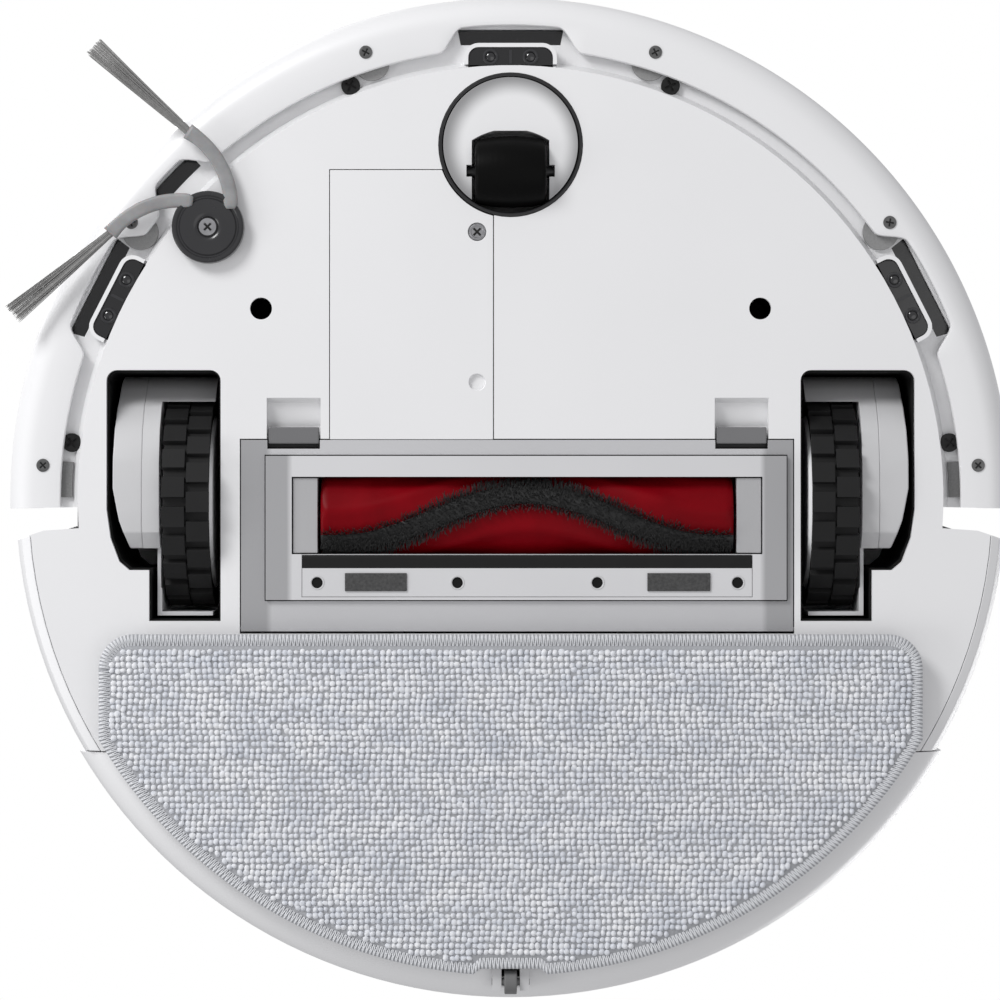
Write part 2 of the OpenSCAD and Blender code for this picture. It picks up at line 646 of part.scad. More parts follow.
// Two rows of bristles that run towards the middle as a V round the core
module roller_bristles() color("black") translate([0, roller_y, roller_z])
  let (mid = (mouth_x[0] + mouth_x[1]) / 2, half = (mouth_x[1] - mouth_x[0]) / 2 - bearing_w - 1.6,
       steps = 14)
    for (side = [-1, 1]) for (i = [0:steps - 1]) for (turn = [0, 180])
      let (t = min(1, 1.1 * (i + 0.5) / steps))
      translate([mid + side * half * (i + 0.5) / steps, 0, 0])
        rotate([turn - 29 + 68 * t * t * (3 - 2 * t), 0, 0])
          slab([-half / steps / 2, -3, core_r + 0.03], [half / steps / 2, 3, roller_r - 0.3]);

// Body of the tank: rounded disc cut to a T, with the step for the rear roller
module tank_solid(d) intersection() {
  translate([0, 0, 0]) rotate_extrude($fn = 180) polygon(concat(
    [[0, plate_z + d], [tank_r - 12, plate_z + d]],
    arc([tank_r - 12 , plate_z + 12], 12 - d, -75, 0),
    [[tank_r - d, tank_top - d], [0, tank_top - d]]));
  tank_room(-d);
}

module tank_shell() color("white") difference() {
  tank_solid(0);
  intersection() {
    tank_solid(2);
    slab([-far, -far, 0], [far, far, 34]);
  }
  slab([-tank_stem_x + 2, -far, 36], [tank_stem_x - 2, 150, far]);
  slab([-4.6, 158, 0], [4.6, 190, 11.6]);
  slab([-14.4, 162, 44], [14.4, 190, 56]);
}

module dust_bin() color("lightgray") difference() {
  slab([-tank_stem_x + 2.4, tank_stem_y, 36.2], [tank_stem_x - 2.4, 149.6, tank_top - 1]);
  slab([-tank_stem_x + 4, tank_stem_y + 1.6, 38], [tank_stem_x - 4, 148, tank_top - 2.6]);
  slab([-duct_x, 50, duct_z[0] + 0.5], [duct_x, 65, duct_z[1]]);
}

module tank_latch() color("gray") slab([-14, 163.5, 44.4], [14, 174.6, 55.6]);

// Plan of the mop pad, set in by d
function pad_points(d = 0) = let (r = pad_r - d, x = pad_x - d, c = pad_corner,
    join = acos(x / r)) concat(
  arc([-x + c, pad_front + d + c], c, 180, 270), arc([x - c, pad_front + d + c], c, 270, 360),
  arc([0, 0], r, join, 84, 24), [[13, r - 2.4], [-13, r - 2.4]],
  arc([0, 0], r, 96, 180 - join, 24));

module mop_bracket() color("lightgray") difference() {
  union() {
    translate([0, 0, bracket_z]) linear_extrude(bracket_top - bracket_z) polygon(pad_points(2.5));
    for (side = [-1, 1]) translate([side * 4.8, 0, 0])
      slab([-1.6, 160, bracket_z], [1.6, 171.4, bracket_top]);
  }
  slab([-2.7, 162, 0], [2.7, far, far]);
  xrod(-10, 10, rear_roller_y, rear_roller_z, 1.35);
}

module mop_pad() color("lightsteelblue") linear_extrude(pad_h) polygon(pad_points());

module rear_roller() color("gray") {
  xrod(-2.2, 2.2, rear_roller_y, rear_roller_z, rear_roller_r);
  xrod(-6.6, 6.6, rear_roller_y, rear_roller_z, 1.3);
}

base_plate();
wheel_wells();
bumper_channel();
side_shell();
top_shell();
deck_panel();
battery_cover();
battery_cover_screw();
battery_pack();
main_board();
suction_fan();
brush_motor();
side_brush_motor();
brush_tunnel();
brush_bearings();
caster_bezel();
cliff_sensors();
foam_pads();
corner_pads();
channel_screws();
lidar_base();
lidar_cap();
lidar_rotor();
power_button();
home_button();
bumper_shell();
bumper_side_panels();
bumper_screws();
sensor_window();
left_gearbox();
left_gearbox_lid();
left_hub();
left_tyre();
right_gearbox();
right_gearbox_lid();
right_hub();
right_tyre();
caster_fork();
caster_roller();
caster_axle();
side_brush_hub();
side_brush_arms();
side_brush_bristles();
side_brush_screw();
brush_cover();
left_latch();
right_latch();
guard_frame();
guard_bar();
scraper_strip();
guard_screws();
felt_pads();
roller_core();
roller_bristles();
tank_shell();
dust_bin();
tank_latch();
mop_bracket();
mop_pad();
rear_roller();
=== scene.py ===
# Robot vacuum and mop, seen from below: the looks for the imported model.
# Metres, in the model's own frame: the front is -Y, up is +Z and the floor is z = 0.
import json
from math import acos, cos, degrees, hypot, pi, radians, sin

import bmesh
import bpy
import numpy as np
from mathutils import Matrix, Vector

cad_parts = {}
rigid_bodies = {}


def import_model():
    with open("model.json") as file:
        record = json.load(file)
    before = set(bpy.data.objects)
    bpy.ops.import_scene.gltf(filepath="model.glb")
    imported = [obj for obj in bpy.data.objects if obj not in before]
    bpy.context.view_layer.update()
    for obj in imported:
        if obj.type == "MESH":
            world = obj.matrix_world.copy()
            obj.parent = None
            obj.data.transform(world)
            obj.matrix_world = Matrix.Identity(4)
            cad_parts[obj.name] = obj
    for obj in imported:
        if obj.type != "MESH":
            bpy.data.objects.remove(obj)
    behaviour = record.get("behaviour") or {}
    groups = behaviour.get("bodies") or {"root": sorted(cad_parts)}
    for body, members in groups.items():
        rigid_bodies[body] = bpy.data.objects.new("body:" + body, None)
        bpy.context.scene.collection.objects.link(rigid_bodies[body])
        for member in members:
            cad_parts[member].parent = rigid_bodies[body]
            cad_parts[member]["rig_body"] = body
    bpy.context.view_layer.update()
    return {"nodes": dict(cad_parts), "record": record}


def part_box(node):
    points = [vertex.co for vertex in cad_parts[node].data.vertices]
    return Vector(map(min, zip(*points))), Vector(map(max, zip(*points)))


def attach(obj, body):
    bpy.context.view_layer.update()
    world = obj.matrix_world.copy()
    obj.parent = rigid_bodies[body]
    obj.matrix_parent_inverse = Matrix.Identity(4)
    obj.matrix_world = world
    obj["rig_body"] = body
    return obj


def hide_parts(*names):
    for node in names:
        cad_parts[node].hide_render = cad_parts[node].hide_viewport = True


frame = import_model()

scene = bpy.context.scene
nodes = frame["nodes"]

# ---------------------------------------------------------------------------
# Studio. The robot is looked at from straight below, through a floor that only shows from above.
# Two large soft lights stand under the robot's front left, and two over it for views from above.
scene.view_settings.view_transform = "Standard"
lens_mm = 124.6
camera_depth = 1.2
camera_side = (-0.0037, 0.0007)
camera = bpy.data.objects.new("camera", bpy.data.cameras.new("camera"))
camera.data.lens = lens_mm
camera.data.sensor_width = 36
camera.location = (camera_side[0], camera_side[1], -camera_depth)
camera.rotation_euler = Matrix(((1, 0, 0), (0, -1, 0), (0, 0, -1))).to_euler()
scene.collection.objects.link(camera)
scene.camera = camera


def soft_light(name, place, aim, size, watts):
    lamp = bpy.data.lights.new(name, "AREA")
    lamp.shape = "DISK"
    lamp.size = size
    lamp.energy = watts
    light = bpy.data.objects.new(name, lamp)
    light.location = place
    light.rotation_euler = (Vector(aim) - Vector(place)).to_track_quat("-Z", "Y").to_euler()
    light.visible_camera = False
    scene.collection.objects.link(light)


soft_light("key_below", (-0.75, -0.85, -0.75), (0, 0, 0), 0.5, 10)
soft_light("side_below", (-1.15, 0.35, -0.5), (0, 0.02, 0), 0.6, 3.3)
soft_light("fill_below", (0.5, 0.3, -1.3), (0, 0, 0), 1.2, 2)
soft_light("key_above", (-0.9, -0.9, 1.3), (0, 0, 0), 0.7, 22)
soft_light("fill_above", (1.1, 0.7, 1.2), (0, 0, 0), 1.2, 9)

world = bpy.data.worlds.new("studio")
scene.world = world
world.use_nodes = True
sky = world.node_tree
seen = sky.nodes.new("ShaderNodeLightPath")
backdrop = sky.nodes["Background"]
backdrop.inputs["Color"].default_value = (1, 1, 1, 1)
backdrop.inputs["Strength"].default_value = 1
ambient = sky.nodes.new("ShaderNodeBackground")
ambient.inputs["Color"].default_value = (0.985, 0.985, 1, 1)
ambient.inputs["Strength"].default_value = 0.5
either = sky.nodes.new("ShaderNodeMixShader")
sky.links.new(seen.outputs["Is Camera Ray"], either.inputs[0])
sky.links.new(ambient.outputs[0], either.inputs[1])
sky.links.new(backdrop.outputs[0], either.inputs[2])
sky.links.new(either.outputs[0], sky.nodes["World Output"].inputs["Surface"])


class Wire:
    """A node's output. Sums and products of wires and numbers add Math nodes."""

    def __init__(self, finish, socket):
        self.finish = finish
        self.socket = socket

    def math(self, operation, first, second):
        return self.finish.node("ShaderNodeMath", {"operation": operation}, {0: first, 1: second})

    def __add__(self, other):
        return self.math("ADD", self, other)

    def __radd__(self, other):
        return self.math("ADD", other, self)

    def __sub__(self, other):
        return self.math("SUBTRACT", self, other)

    def __rsub__(self, other):
        return self.math("SUBTRACT", other, self)

    def __mul__(self, other):
        return self.math("MULTIPLY", self, other)

    def __rmul__(self, other):
        return self.math("MULTIPLY", other, self)


class Finish:
    """A material in the making: constants go on the shader, wires feed what varies."""

    def __init__(self, name, **constants):
        self.material = bpy.data.materials.new(name)
        self.material.use_nodes = True
        self.tree = self.material.node_tree
        self.shader = self.tree.nodes["Principled BSDF"]
        for socket, value in constants.items():
            socket = socket.replace("_", " ")
            if isinstance(value, tuple):
                value = (*value, 1)
            self.shader.inputs[socket].default_value = value
        if "Base_Color" in constants:
            self.material.diffuse_color = (*constants["Base_Color"], 1)

    def node(self, kind, settings=None, sockets=None, out=0):
        made = self.tree.nodes.new(kind)
        for name, value in (settings or {}).items():
            if name == "stops":
                ramp = made.color_ramp.elements
                while len(ramp) < len(value):
                    ramp.new(0.5)
                for stop, (place, shade) in zip(ramp, value):
                    stop.position = place
                    stop.color = (*shade, 1) if isinstance(shade, tuple) else (shade,) * 3 + (1,)
            else:
                setattr(made, name, value)
        for name, value in (sockets or {}).items():
            if isinstance(value, Wire):
                self.tree.links.new(value.socket, made.inputs[name])
            else:
                made.inputs[name].default_value = value
        return Wire(self, made.outputs[out])

    def place(self, scale=(1, 1, 1)):
        where = self.node("ShaderNodeTexCoord", out="Object")
        return self.node("ShaderNodeMapping", {}, {"Vector": where, "Scale": scale})

    def noise(self, scale, detail=2):
        return self.node("ShaderNodeTexNoise", {}, {
            "Vector": self.place(), "Scale": scale, "Detail": detail}, out="Fac")

    def ramp(self, value, *stops):
        return self.node("ShaderNodeValToRGB", {"stops": stops}, {"Fac": value}, out="Color")

    def tint(self, amount, dark, light):
        return self.node("ShaderNodeMix", {"data_type": "RGBA"}, {
            "Factor": amount, 6: (*dark, 1), 7: (*light, 1)}, out=2)

    def feed(self, socket, wire):
        self.tree.links.new(wire.socket, self.shader.inputs[socket])

    def bump(self, height, depth, strength=1):
        bumped = self.node("ShaderNodeBump", {}, {
            "Height": height, "Distance": depth, "Strength": strength}, out="Normal")
        self.feed("Normal", bumped)


floor_finish = Finish("pale_floor", Base_Color=(0.82, 0.82, 0.83), Roughness=0.7)
floor_finish.feed("Roughness", floor_finish.noise(3, 3) * 0.1 + 0.65)
underneath = floor_finish.node("ShaderNodeNewGeometry", out="Backfacing")
see_through = floor_finish.node("ShaderNodeBsdfTransparent")
one_sided = floor_finish.node("ShaderNodeMixShader", {}, {
    0: underneath, 1: Wire(floor_finish, floor_finish.shader.outputs[0]), 2: see_through})
floor_finish.tree.links.new(one_sided.socket,
                            floor_finish.tree.nodes["Material Output"].inputs["Surface"])


def mesh_piece(name, points, faces, finish, smooth=True):
    """A piece from points and faces, with one finish."""
    mesh = bpy.data.meshes.new(name)
    mesh.from_pydata([tuple(p) for p in points], [], [tuple(f) for f in faces])
    mesh.validate()
    shape = bmesh.new()
    shape.from_mesh(mesh)
    bmesh.ops.recalc_face_normals(shape, faces=shape.faces)
    shape.to_mesh(mesh)
    shape.free()
    mesh.polygons.foreach_set("use_smooth", [smooth] * len(mesh.polygons))
    piece = bpy.data.objects.new(name, mesh)
    scene.collection.objects.link(piece)
    mesh.materials.append(finish)
    return piece


floor_reach, floor_z = 3, -0.0002
floor = mesh_piece("studio_floor", [(x * floor_reach, y * floor_reach, floor_z)
                                    for x, y in ((-1, -1), (1, -1), (1, 1), (-1, 1))],
                   [(0, 1, 2, 3)], floor_finish.material)
floor.visible_shadow = False
floor.visible_diffuse = False
floor.visible_glossy = False

# ---------------------------------------------------------------------------
# White shell mouldings: base plate, channel, side and top shell, battery door and tank.
# Satin ABS out of steel tools, so every outside edge carries a small round from the mould.
grain_scale, grain_depth = 9000, 0.00001


def moulded(name, dark, light, roughness, **constants):
    """Moulded plastic: a fine spark-eroded grain, slow colour drift and faint handling marks."""
    made = Finish(name, Base_Color=light, Roughness=roughness, **constants)
    made.feed("Base Color", made.tint(made.noise(14, 4), dark, light))
    marks = made.noise(60, 5)
    made.feed("Roughness", marks * 0.12 + (roughness - 0.06))
    made.bump(made.noise(grain_scale, 2), grain_depth, 0.35)
    return made.material


shell_white = moulded("shell_white", (0.79, 0.79, 0.8), (0.84, 0.84, 0.85), 0.36,
                      Coat_Weight=0.08, Coat_Roughness=0.3)
flat_turn = radians(0.6)


def softened(node, finish, width=0.00035, steps=2, sharp=28, body=None):
    """The CAD piece's own shape with its sharp edges rounded, as a mould leaves them."""
    piece = bpy.data.objects.new(node + "_moulding", nodes[node].data.copy())
    scene.collection.objects.link(piece)
    shape = bmesh.new()
    shape.from_mesh(piece.data)
    bmesh.ops.remove_doubles(shape, verts=shape.verts, dist=1e-6)
    bmesh.ops.dissolve_limit(shape, angle_limit=flat_turn, verts=shape.verts, edges=shape.edges)
    turned = [e for e in shape.edges
              if len(e.link_faces) == 2 and e.calc_face_angle(0) > radians(sharp)]
    bmesh.ops.bevel(shape, geom=turned, offset=width, segments=steps, profile=0.5,
                    affect="EDGES", clamp_overlap=True)
    bmesh.ops.triangulate(shape, faces=[f for f in shape.faces if len(f.verts) > 4])
    shape.to_mesh(piece.data)
    shape.free()
    piece.data.polygons.foreach_set("use_smooth", [True] * len(piece.data.polygons))
    piece.data.set_sharp_from_angle(angle=radians(24))
    flatter = piece.modifiers.new("flat_faces_lead", "WEIGHTED_NORMAL")
    flatter.keep_sharp = True
    flatter.weight = 100
    piece.data.materials.clear()
    piece.data.materials.append(finish)
    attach(piece, body or nodes[node]["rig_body"])
    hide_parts(node)
    for part in frame["record"]["subparts"]:
        part["node"] == node
    return piece


def coloured(finish, *names):
    """Gives CAD pieces that keep their own shape a finish."""
    for name in names:
        nodes[name].data.materials.clear()
        nodes[name].data.materials.append(finish)


for shell in ("base_plate", "bumper_channel", "side_shell", "top_shell", "battery_cover"):
    softened(shell, shell_white)

# ---------------------------------------------------------------------------
# Wheel wells and the two deep holes: black linings, which show as the dark gaps round the wheels.
# Their black is painted shade for the depth of the wells and holes.
lining_black = moulded("lining_black", (0.004, 0.004, 0.004), (0.009, 0.009, 0.009), 0.6,
                       Specular_IOR_Level=0.15)
# Painted shade: the linings are black to stand for the shade deep in the wells and holes.
coloured(lining_black, "wheel_wells")

# ---------------------------------------------------------------------------
# Inner workings: battery, board, fan, motors and brush housing. Plain black mouldings, a blue
# shrink-wrapped pack and a green board, all closed in by the shells.
inner_black = moulded("inner_black", (0.01, 0.01, 0.011), (0.02, 0.02, 0.022), 0.5)
coloured(inner_black, "suction_fan", "brush_motor", "side_brush_motor", "brush_tunnel")
coloured(moulded("pack_wrap", (0.02, 0.07, 0.25), (0.03, 0.09, 0.32), 0.3), "battery_pack")
board = Finish("circuit_board", Base_Color=(0.01, 0.09, 0.03), Roughness=0.4)
tracks = board.node("ShaderNodeTexBrick", {}, {
    "Vector": board.place((180, 180, 180)), "Color1": (0.01, 0.09, 0.03, 1),
    "Color2": (0.015, 0.12, 0.04, 1), "Mortar": (0.25, 0.18, 0.05, 1), "Mortar Size": 0.04},
    out="Color")
board.feed("Base Color", tracks)
coloured(board.material, "main_board")

# ---------------------------------------------------------------------------
# Bumper: one thin white moulding round the front, with its side panels and a slot for the sensor
# window let in. Its bottom turns in as a flange, which is cut back round each cliff sensor.
bumper_low, bumper_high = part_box("bumper_shell")
bumper_r, bumper_bottom, bumper_top = -bumper_low.y, bumper_low.z, bumper_high.z
bumper_end, wall, lower_round = 91.2, 0.0025, 0.0092
flange_r, recess_depth, blend = 0.1575, 0.008, 3.4
flange_cuts = ((-70, -55.5), (-50, -43), (-7.5, 7.5), (55.5, 70))
panel_start, panel_step, window_half, window_step = 80.2, 0.0013, 22, 0.0011
window_low, window_high, window_lip = 0.038, 0.056, 0.0001
top_lip_r, top_round = 0.1716, 0.003


def eased(value):
    """A smooth step from 0 to 1."""
    value = min(1, max(0, value))
    return value * value * (3 - 2 * value)


def flange_edge(angle):
    """Inner radius of the flange: it widens smoothly round each sensor."""
    return flange_r + recess_depth * max(
        eased((angle - start) / blend + 0.5) * eased((end - angle) / blend + 0.5)
        for start, end in flange_cuts)


def bumper_section(angle):
    inner = flange_edge(angle)
    round_z, round_r = bumper_bottom + lower_round, bumper_r - lower_round
    section = [(inner + 0.0004, bumper_bottom + wall), (inner, bumper_bottom + wall - 0.0005),
               (inner, bumper_bottom + 0.0008), (inner + 0.0003, bumper_bottom + 0.0002),
               (inner + 0.0010, bumper_bottom)]
    section += [(round_r + lower_round * sin(radians(9 * i)),
                 round_z - lower_round * cos(radians(9 * i))) for i in range(11)]
    step = panel_step if abs(angle) > panel_start else 0
    slot = window_step if abs(angle) < window_half else 0
    section += [(bumper_r - step, bumper_bottom + 0.0097), (bumper_r - step, window_low - window_lip),
                (bumper_r - step - slot, window_low), (bumper_r - step - slot, window_high),
                (bumper_r - step, window_high + window_lip),
                (bumper_r - step, bumper_top - top_round),
                (bumper_r - step - 0.0009, bumper_top - 0.0009),
                (bumper_r - step - top_round, bumper_top), (top_lip_r, bumper_top),
                (top_lip_r, bumper_top - 0.002), (bumper_r - wall - 0.001, bumper_top - 0.002),
                (bumper_r - wall, bumper_top - 0.0035)]
    section += [(round_r + (lower_round - wall) * cos(radians(9 * i)),
                 round_z - (lower_round - wall) * sin(radians(9 * i))) for i in range(11)]
    return section


stops = sorted([-bumper_end + 0.4 * i for i in range(457)]
               + [side * edge + nudge for edge in (panel_start, window_half)
                  for side in (-1, 1) for nudge in (-0.03, 0.03)])
points, faces = [], []
for angle in stops:
    section = bumper_section(angle)
    points += [(r * sin(radians(angle)), -r * cos(radians(angle)), z) for r, z in section]
size = len(section)
for i in range(len(stops) - 1):
    for j in range(size):
        a, b = i * size + j, i * size + (j + 1) % size
        faces.append((a, a + size, b + size, b))
faces += [tuple(range(size)), tuple(range(len(points) - size, len(points)))[::-1]]
bumper = mesh_piece("bumper_moulding", points, faces, shell_white)
bumper.data.set_sharp_from_angle(angle=radians(40))
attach(bumper, "bumper")
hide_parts("bumper_shell")
softened("bumper_side_panels", shell_white, 0.0003)

# ---------------------------------------------------------------------------
# Screws: dark steel ones in the bumper's flange, black zinc ones in the channel and a brighter one
# in the battery cover with a raised ring near its edge. Their crosses have painted shade: a thin
# black disc just behind each face.
axis_r = 0.00001


def lathe(name, profile, finish, middle, turn=None, steps=72, body="chassis"):
    """A round piece from its radius and height points, turned about its own Z axis."""
    ring_count, points, faces = len(profile), [], []
    for step in range(steps):
        angle = 2 * pi * step / steps
        points += [(r * cos(angle), r * sin(angle), z) for r, z in profile]
    for step in range(steps):
        here, there = step * ring_count, (step + 1) % steps * ring_count
        faces += [(here + i, there + i, there + i + 1, here + i + 1)
                  for i in range(ring_count - 1)]
    piece = mesh_piece(name, points, faces, finish)
    piece.data.set_sharp_from_angle(angle=radians(35))
    piece.matrix_world = Matrix.Translation(middle) @ (turn or Matrix()).to_4x4()
    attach(piece, body)
    return piece


steel = Finish("screw_steel", Base_Color=(0.42, 0.42, 0.43), Metallic=1.0, Roughness=0.34)
steel.feed("Roughness", steel.noise(900, 3) * 0.25 + 0.22)
steel.feed("Base Color", steel.tint(steel.noise(300, 3), (0.32, 0.32, 0.33), (0.5, 0.5, 0.52)))
dark_steel = Finish("dark_steel", Base_Color=(0.16, 0.16, 0.16), Metallic=1.0, Roughness=0.4)
dark_steel.feed("Roughness", dark_steel.noise(900, 3) * 0.25 + 0.28)
dark_steel.feed("Base Color", dark_steel.tint(dark_steel.noise(300, 3), (0.1,) * 3, (0.22,) * 3))
black_zinc = Finish("black_zinc", Base_Color=(0.03, 0.03, 0.03), Metallic=1.0, Roughness=0.45)
black_zinc.feed("Base Color", black_zinc.tint(black_zinc.noise(300, 3), (0.02,) * 3, (0.05,) * 3))
coloured(steel.material, "battery_cover_screw")
coloured(black_zinc.material, "channel_screws")
head_proud, cross_depth, cross_r = 0.0003, 0.0002, 0.0017
heads = softened("bumper_screws", dark_steel.material, 0.00015, 2)
heads.data.transform(Matrix.Translation((0, 0, -head_proud)))


def cross_shade_disc(name, middle, radius, body="chassis"):
    """A thin black disc just behind the screw's face: painted shade at the bottom of a crosshead."""
    return lathe(name, [(axis_r, 0), (radius, 0), (radius, 0.0001), (axis_r, 0.0001)],
                 black_zinc.material, middle, steps=24, body=body)


screw_ring, flange_cross_z = 0.164, bumper_bottom - head_proud / 2
for number, angle in enumerate((-86, -54, -18, 18, 54, 86)):
    spot = (screw_ring * sin(radians(angle)), -screw_ring * cos(radians(angle)), flange_cross_z)
    cross_shade_disc(f"bumper_cross_{number + 1}", spot, cross_r, "bumper")
cover_screw_low, cover_screw_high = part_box("battery_cover_screw")
spot = (cover_screw_low + cover_screw_high) / 2
spot.z = cover_screw_low.z + cross_depth
cross_shade_disc("battery_cover_cross", spot, cross_r)
rim = (cover_screw_high.x - cover_screw_low.x) / 2
lathe("battery_cover_screw_ring", [
    (rim - 0.0009, 0), (rim - 0.0007, -0.0002), (rim - 0.0003, -0.0002), (rim - 0.0001, 0),
    (rim - 0.0001, 0.0002), (rim - 0.0009, 0.0002), (rim - 0.0009, 0)], steel.material,
    (spot.x, spot.y, cover_screw_low.z), steps=48)

# ---------------------------------------------------------------------------
# Bumper stops: punched light grey foam discs stuck to the channel, and darker rubber pads
# beside the wheels.
foam = Finish("stop_foam", Base_Color=(0.5, 0.5, 0.5), Roughness=0.95)
cells = foam.noise(2600, 4)
foam.feed("Base Color", foam.tint(cells, (0.2, 0.2, 0.2), (0.36, 0.36, 0.36)))
foam.bump(cells, 0.0002, 0.6)
coloured(foam.material, "foam_pads")
pad_rubber = Finish("pad_rubber", Base_Color=(0.1, 0.1, 0.1), Roughness=0.8)
pad_grain = pad_rubber.noise(1500, 3)
pad_rubber.feed("Base Color", pad_rubber.tint(pad_grain, (0.13, 0.13, 0.13), (0.24, 0.24, 0.24)))
coloured(pad_rubber.material, "corner_pads")

# ---------------------------------------------------------------------------
# Cliff sensors: a smoked block in a white frame, three times. Behind its face sit a sender and
# a receiver, each a small lens in a round collar, with a rib between them.
smoked = Finish("smoked_block", Base_Color=(0.008, 0.008, 0.009), Roughness=0.18, Coat_Weight=0.5)
smoked.feed("Roughness", smoked.noise(400, 4) * 0.15 + 0.12)
softened("cliff_sensors", smoked.material, 0.0008, 3)
coloured(smoked.material, "sensor_window")
lens_black = moulded("lens_black", (0.004, 0.004, 0.005), (0.01, 0.01, 0.012), 0.12,
                     Coat_Weight=1.0)
collar_black = moulded("collar_black", (0.02, 0.02, 0.022), (0.035, 0.035, 0.038), 0.32)
sensor_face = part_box("cliff_sensors")[0].z
sensor_r = 0.1542
collar_r, lens_r, lens_apart = 0.0028, 0.0018, 0.007
for side, angle in (("left", -63), ("front", 0), ("right", 63)):
    heading = Matrix.Rotation(radians(angle - 90), 4, "Z")
    for lens_name, offset in (("sender", -lens_apart), ("receiver", lens_apart)):
        spot = heading @ Vector((sensor_r, offset, sensor_face))
        lathe(f"{side}_{lens_name}_collar", [
            (lens_r, 0.0004), (lens_r, -0.0003), (lens_r + 0.0003, -0.0006),
            (collar_r - 0.0003, -0.0006), (collar_r, -0.0003), (collar_r, 0.0003)],
            collar_black, spot, steps=36)
        lathe(f"{side}_{lens_name}_lens", [
            (axis_r, -0.0005), (lens_r * 0.5, -0.0004), (lens_r * 0.85, -0.0002),
            (lens_r, 0.0001)], lens_black, spot, steps=36)
    rib_half = Vector((0.0024, 0.0005, 0.0004))
    corners = [Vector((x * rib_half.x, y * rib_half.y, z * rib_half.z))
               for x in (-1, 1) for y in (-1, 1) for z in (-1, 1)]
    rib = mesh_piece(f"{side}_sensor_rib", corners, [
        (0, 1, 3, 2), (4, 6, 7, 5), (0, 4, 5, 1), (2, 3, 7, 6), (0, 2, 6, 4), (1, 5, 7, 3)],
        collar_black, smooth=False)
    rib.matrix_world = Matrix.Translation(heading @ Vector((sensor_r, 0, sensor_face))) @ heading
    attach(rib, "chassis")

# ---------------------------------------------------------------------------
# Caster: a black ring set in the plate, a white cup that turns in it, and a black barrel roller
# on a black pin. The roller is hard plastic with fine turning lines. The cup's colour carries painted
# shade that darkens it towards its rim, most on the side next to the light, where the ring would
# shade it.
trim_black = moulded("trim_black", (0.012, 0.012, 0.013), (0.02, 0.02, 0.022), 0.3)
softened("caster_bezel", trim_black, 0.0004, 3)
cup_low, cup_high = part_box("caster_fork")
shade_middle = (cup_low + cup_high) / 2 + Vector((0.001, 0.0004, 0))
shade_start, shade_end = 0.0172, 0.0245
cup = Finish("cup_white", Base_Color=(0.8, 0.8, 0.81), Roughness=0.42)
from_middle = cup.node("ShaderNodeVectorMath", {"operation": "DISTANCE"}, {
    0: cup.place((1, 1, 0)), 1: (shade_middle.x, shade_middle.y, 0)}, out="Value")
# Painted shade: the cup's colour darkens towards its rim, most on the light's side.
painted_rim_shade = cup.node("ShaderNodeMapRange", {"interpolation_type": "SMOOTHSTEP"}, {
    "Value": from_middle + cup.noise(60, 2) * 0.001, "From Min": shade_start,
    "From Max": shade_end}, out="Result")
cup.feed("Base Color", cup.tint(painted_rim_shade, (0.8, 0.8, 0.81), (0.28, 0.28, 0.285)))
cup.feed("Roughness", cup.noise(60, 5) * 0.12 + 0.36)
cup.bump(cup.noise(grain_scale, 2), grain_depth, 0.35)
softened("caster_fork", cup.material, 0.0022, 4)
roller_black = Finish("roller_black", Base_Color=(0.004, 0.004, 0.004), Roughness=0.4,
                      Specular_IOR_Level=0.05)
turned_lines = roller_black.node("ShaderNodeTexWave", {"bands_direction": "X"}, {
    "Vector": roller_black.place((1, 1, 1)), "Scale": 700.0, "Distortion": 0.6})
roller_black.feed("Roughness", roller_black.noise(120, 4) * 0.25 + 0.3)
roller_black.bump(turned_lines, 0.00002, 0.3)
softened("caster_roller", roller_black.material, 0.0006, 3)
coloured(trim_black, "caster_axle")

# ---------------------------------------------------------------------------
# Drive wheels: black rubber tyres with two rows of blocks, on pale rims, carried by pale
# gearboxes moulded in two halves.
tread = Finish("tread_rubber", Base_Color=(0.01, 0.01, 0.01), Roughness=0.72,
               Specular_IOR_Level=0.3)
tread_wear = tread.noise(90, 5)
tread.feed("Base Color", tread.tint(tread_wear, (0.004, 0.004, 0.004), (0.014, 0.014, 0.0145)))
tread.feed("Roughness", tread_wear * 0.25 + 0.55)
tread.bump(tread.noise(2500, 3), 0.00006, 0.5)
arm_grey = moulded("arm_grey", (0.54, 0.54, 0.55), (0.62, 0.62, 0.63), 0.42)
rim_grey = moulded("rim_grey", (0.72, 0.72, 0.73), (0.8, 0.8, 0.81), 0.4)
for side in ("left", "right"):
    softened(side + "_tyre", tread.material, 0.0005)
    softened(side + "_hub", rim_grey, 0.0005)
    softened(side + "_gearbox", arm_grey, 0.0007, 3)
    softened(side + "_gearbox_lid", arm_grey, 0.0012, 3)

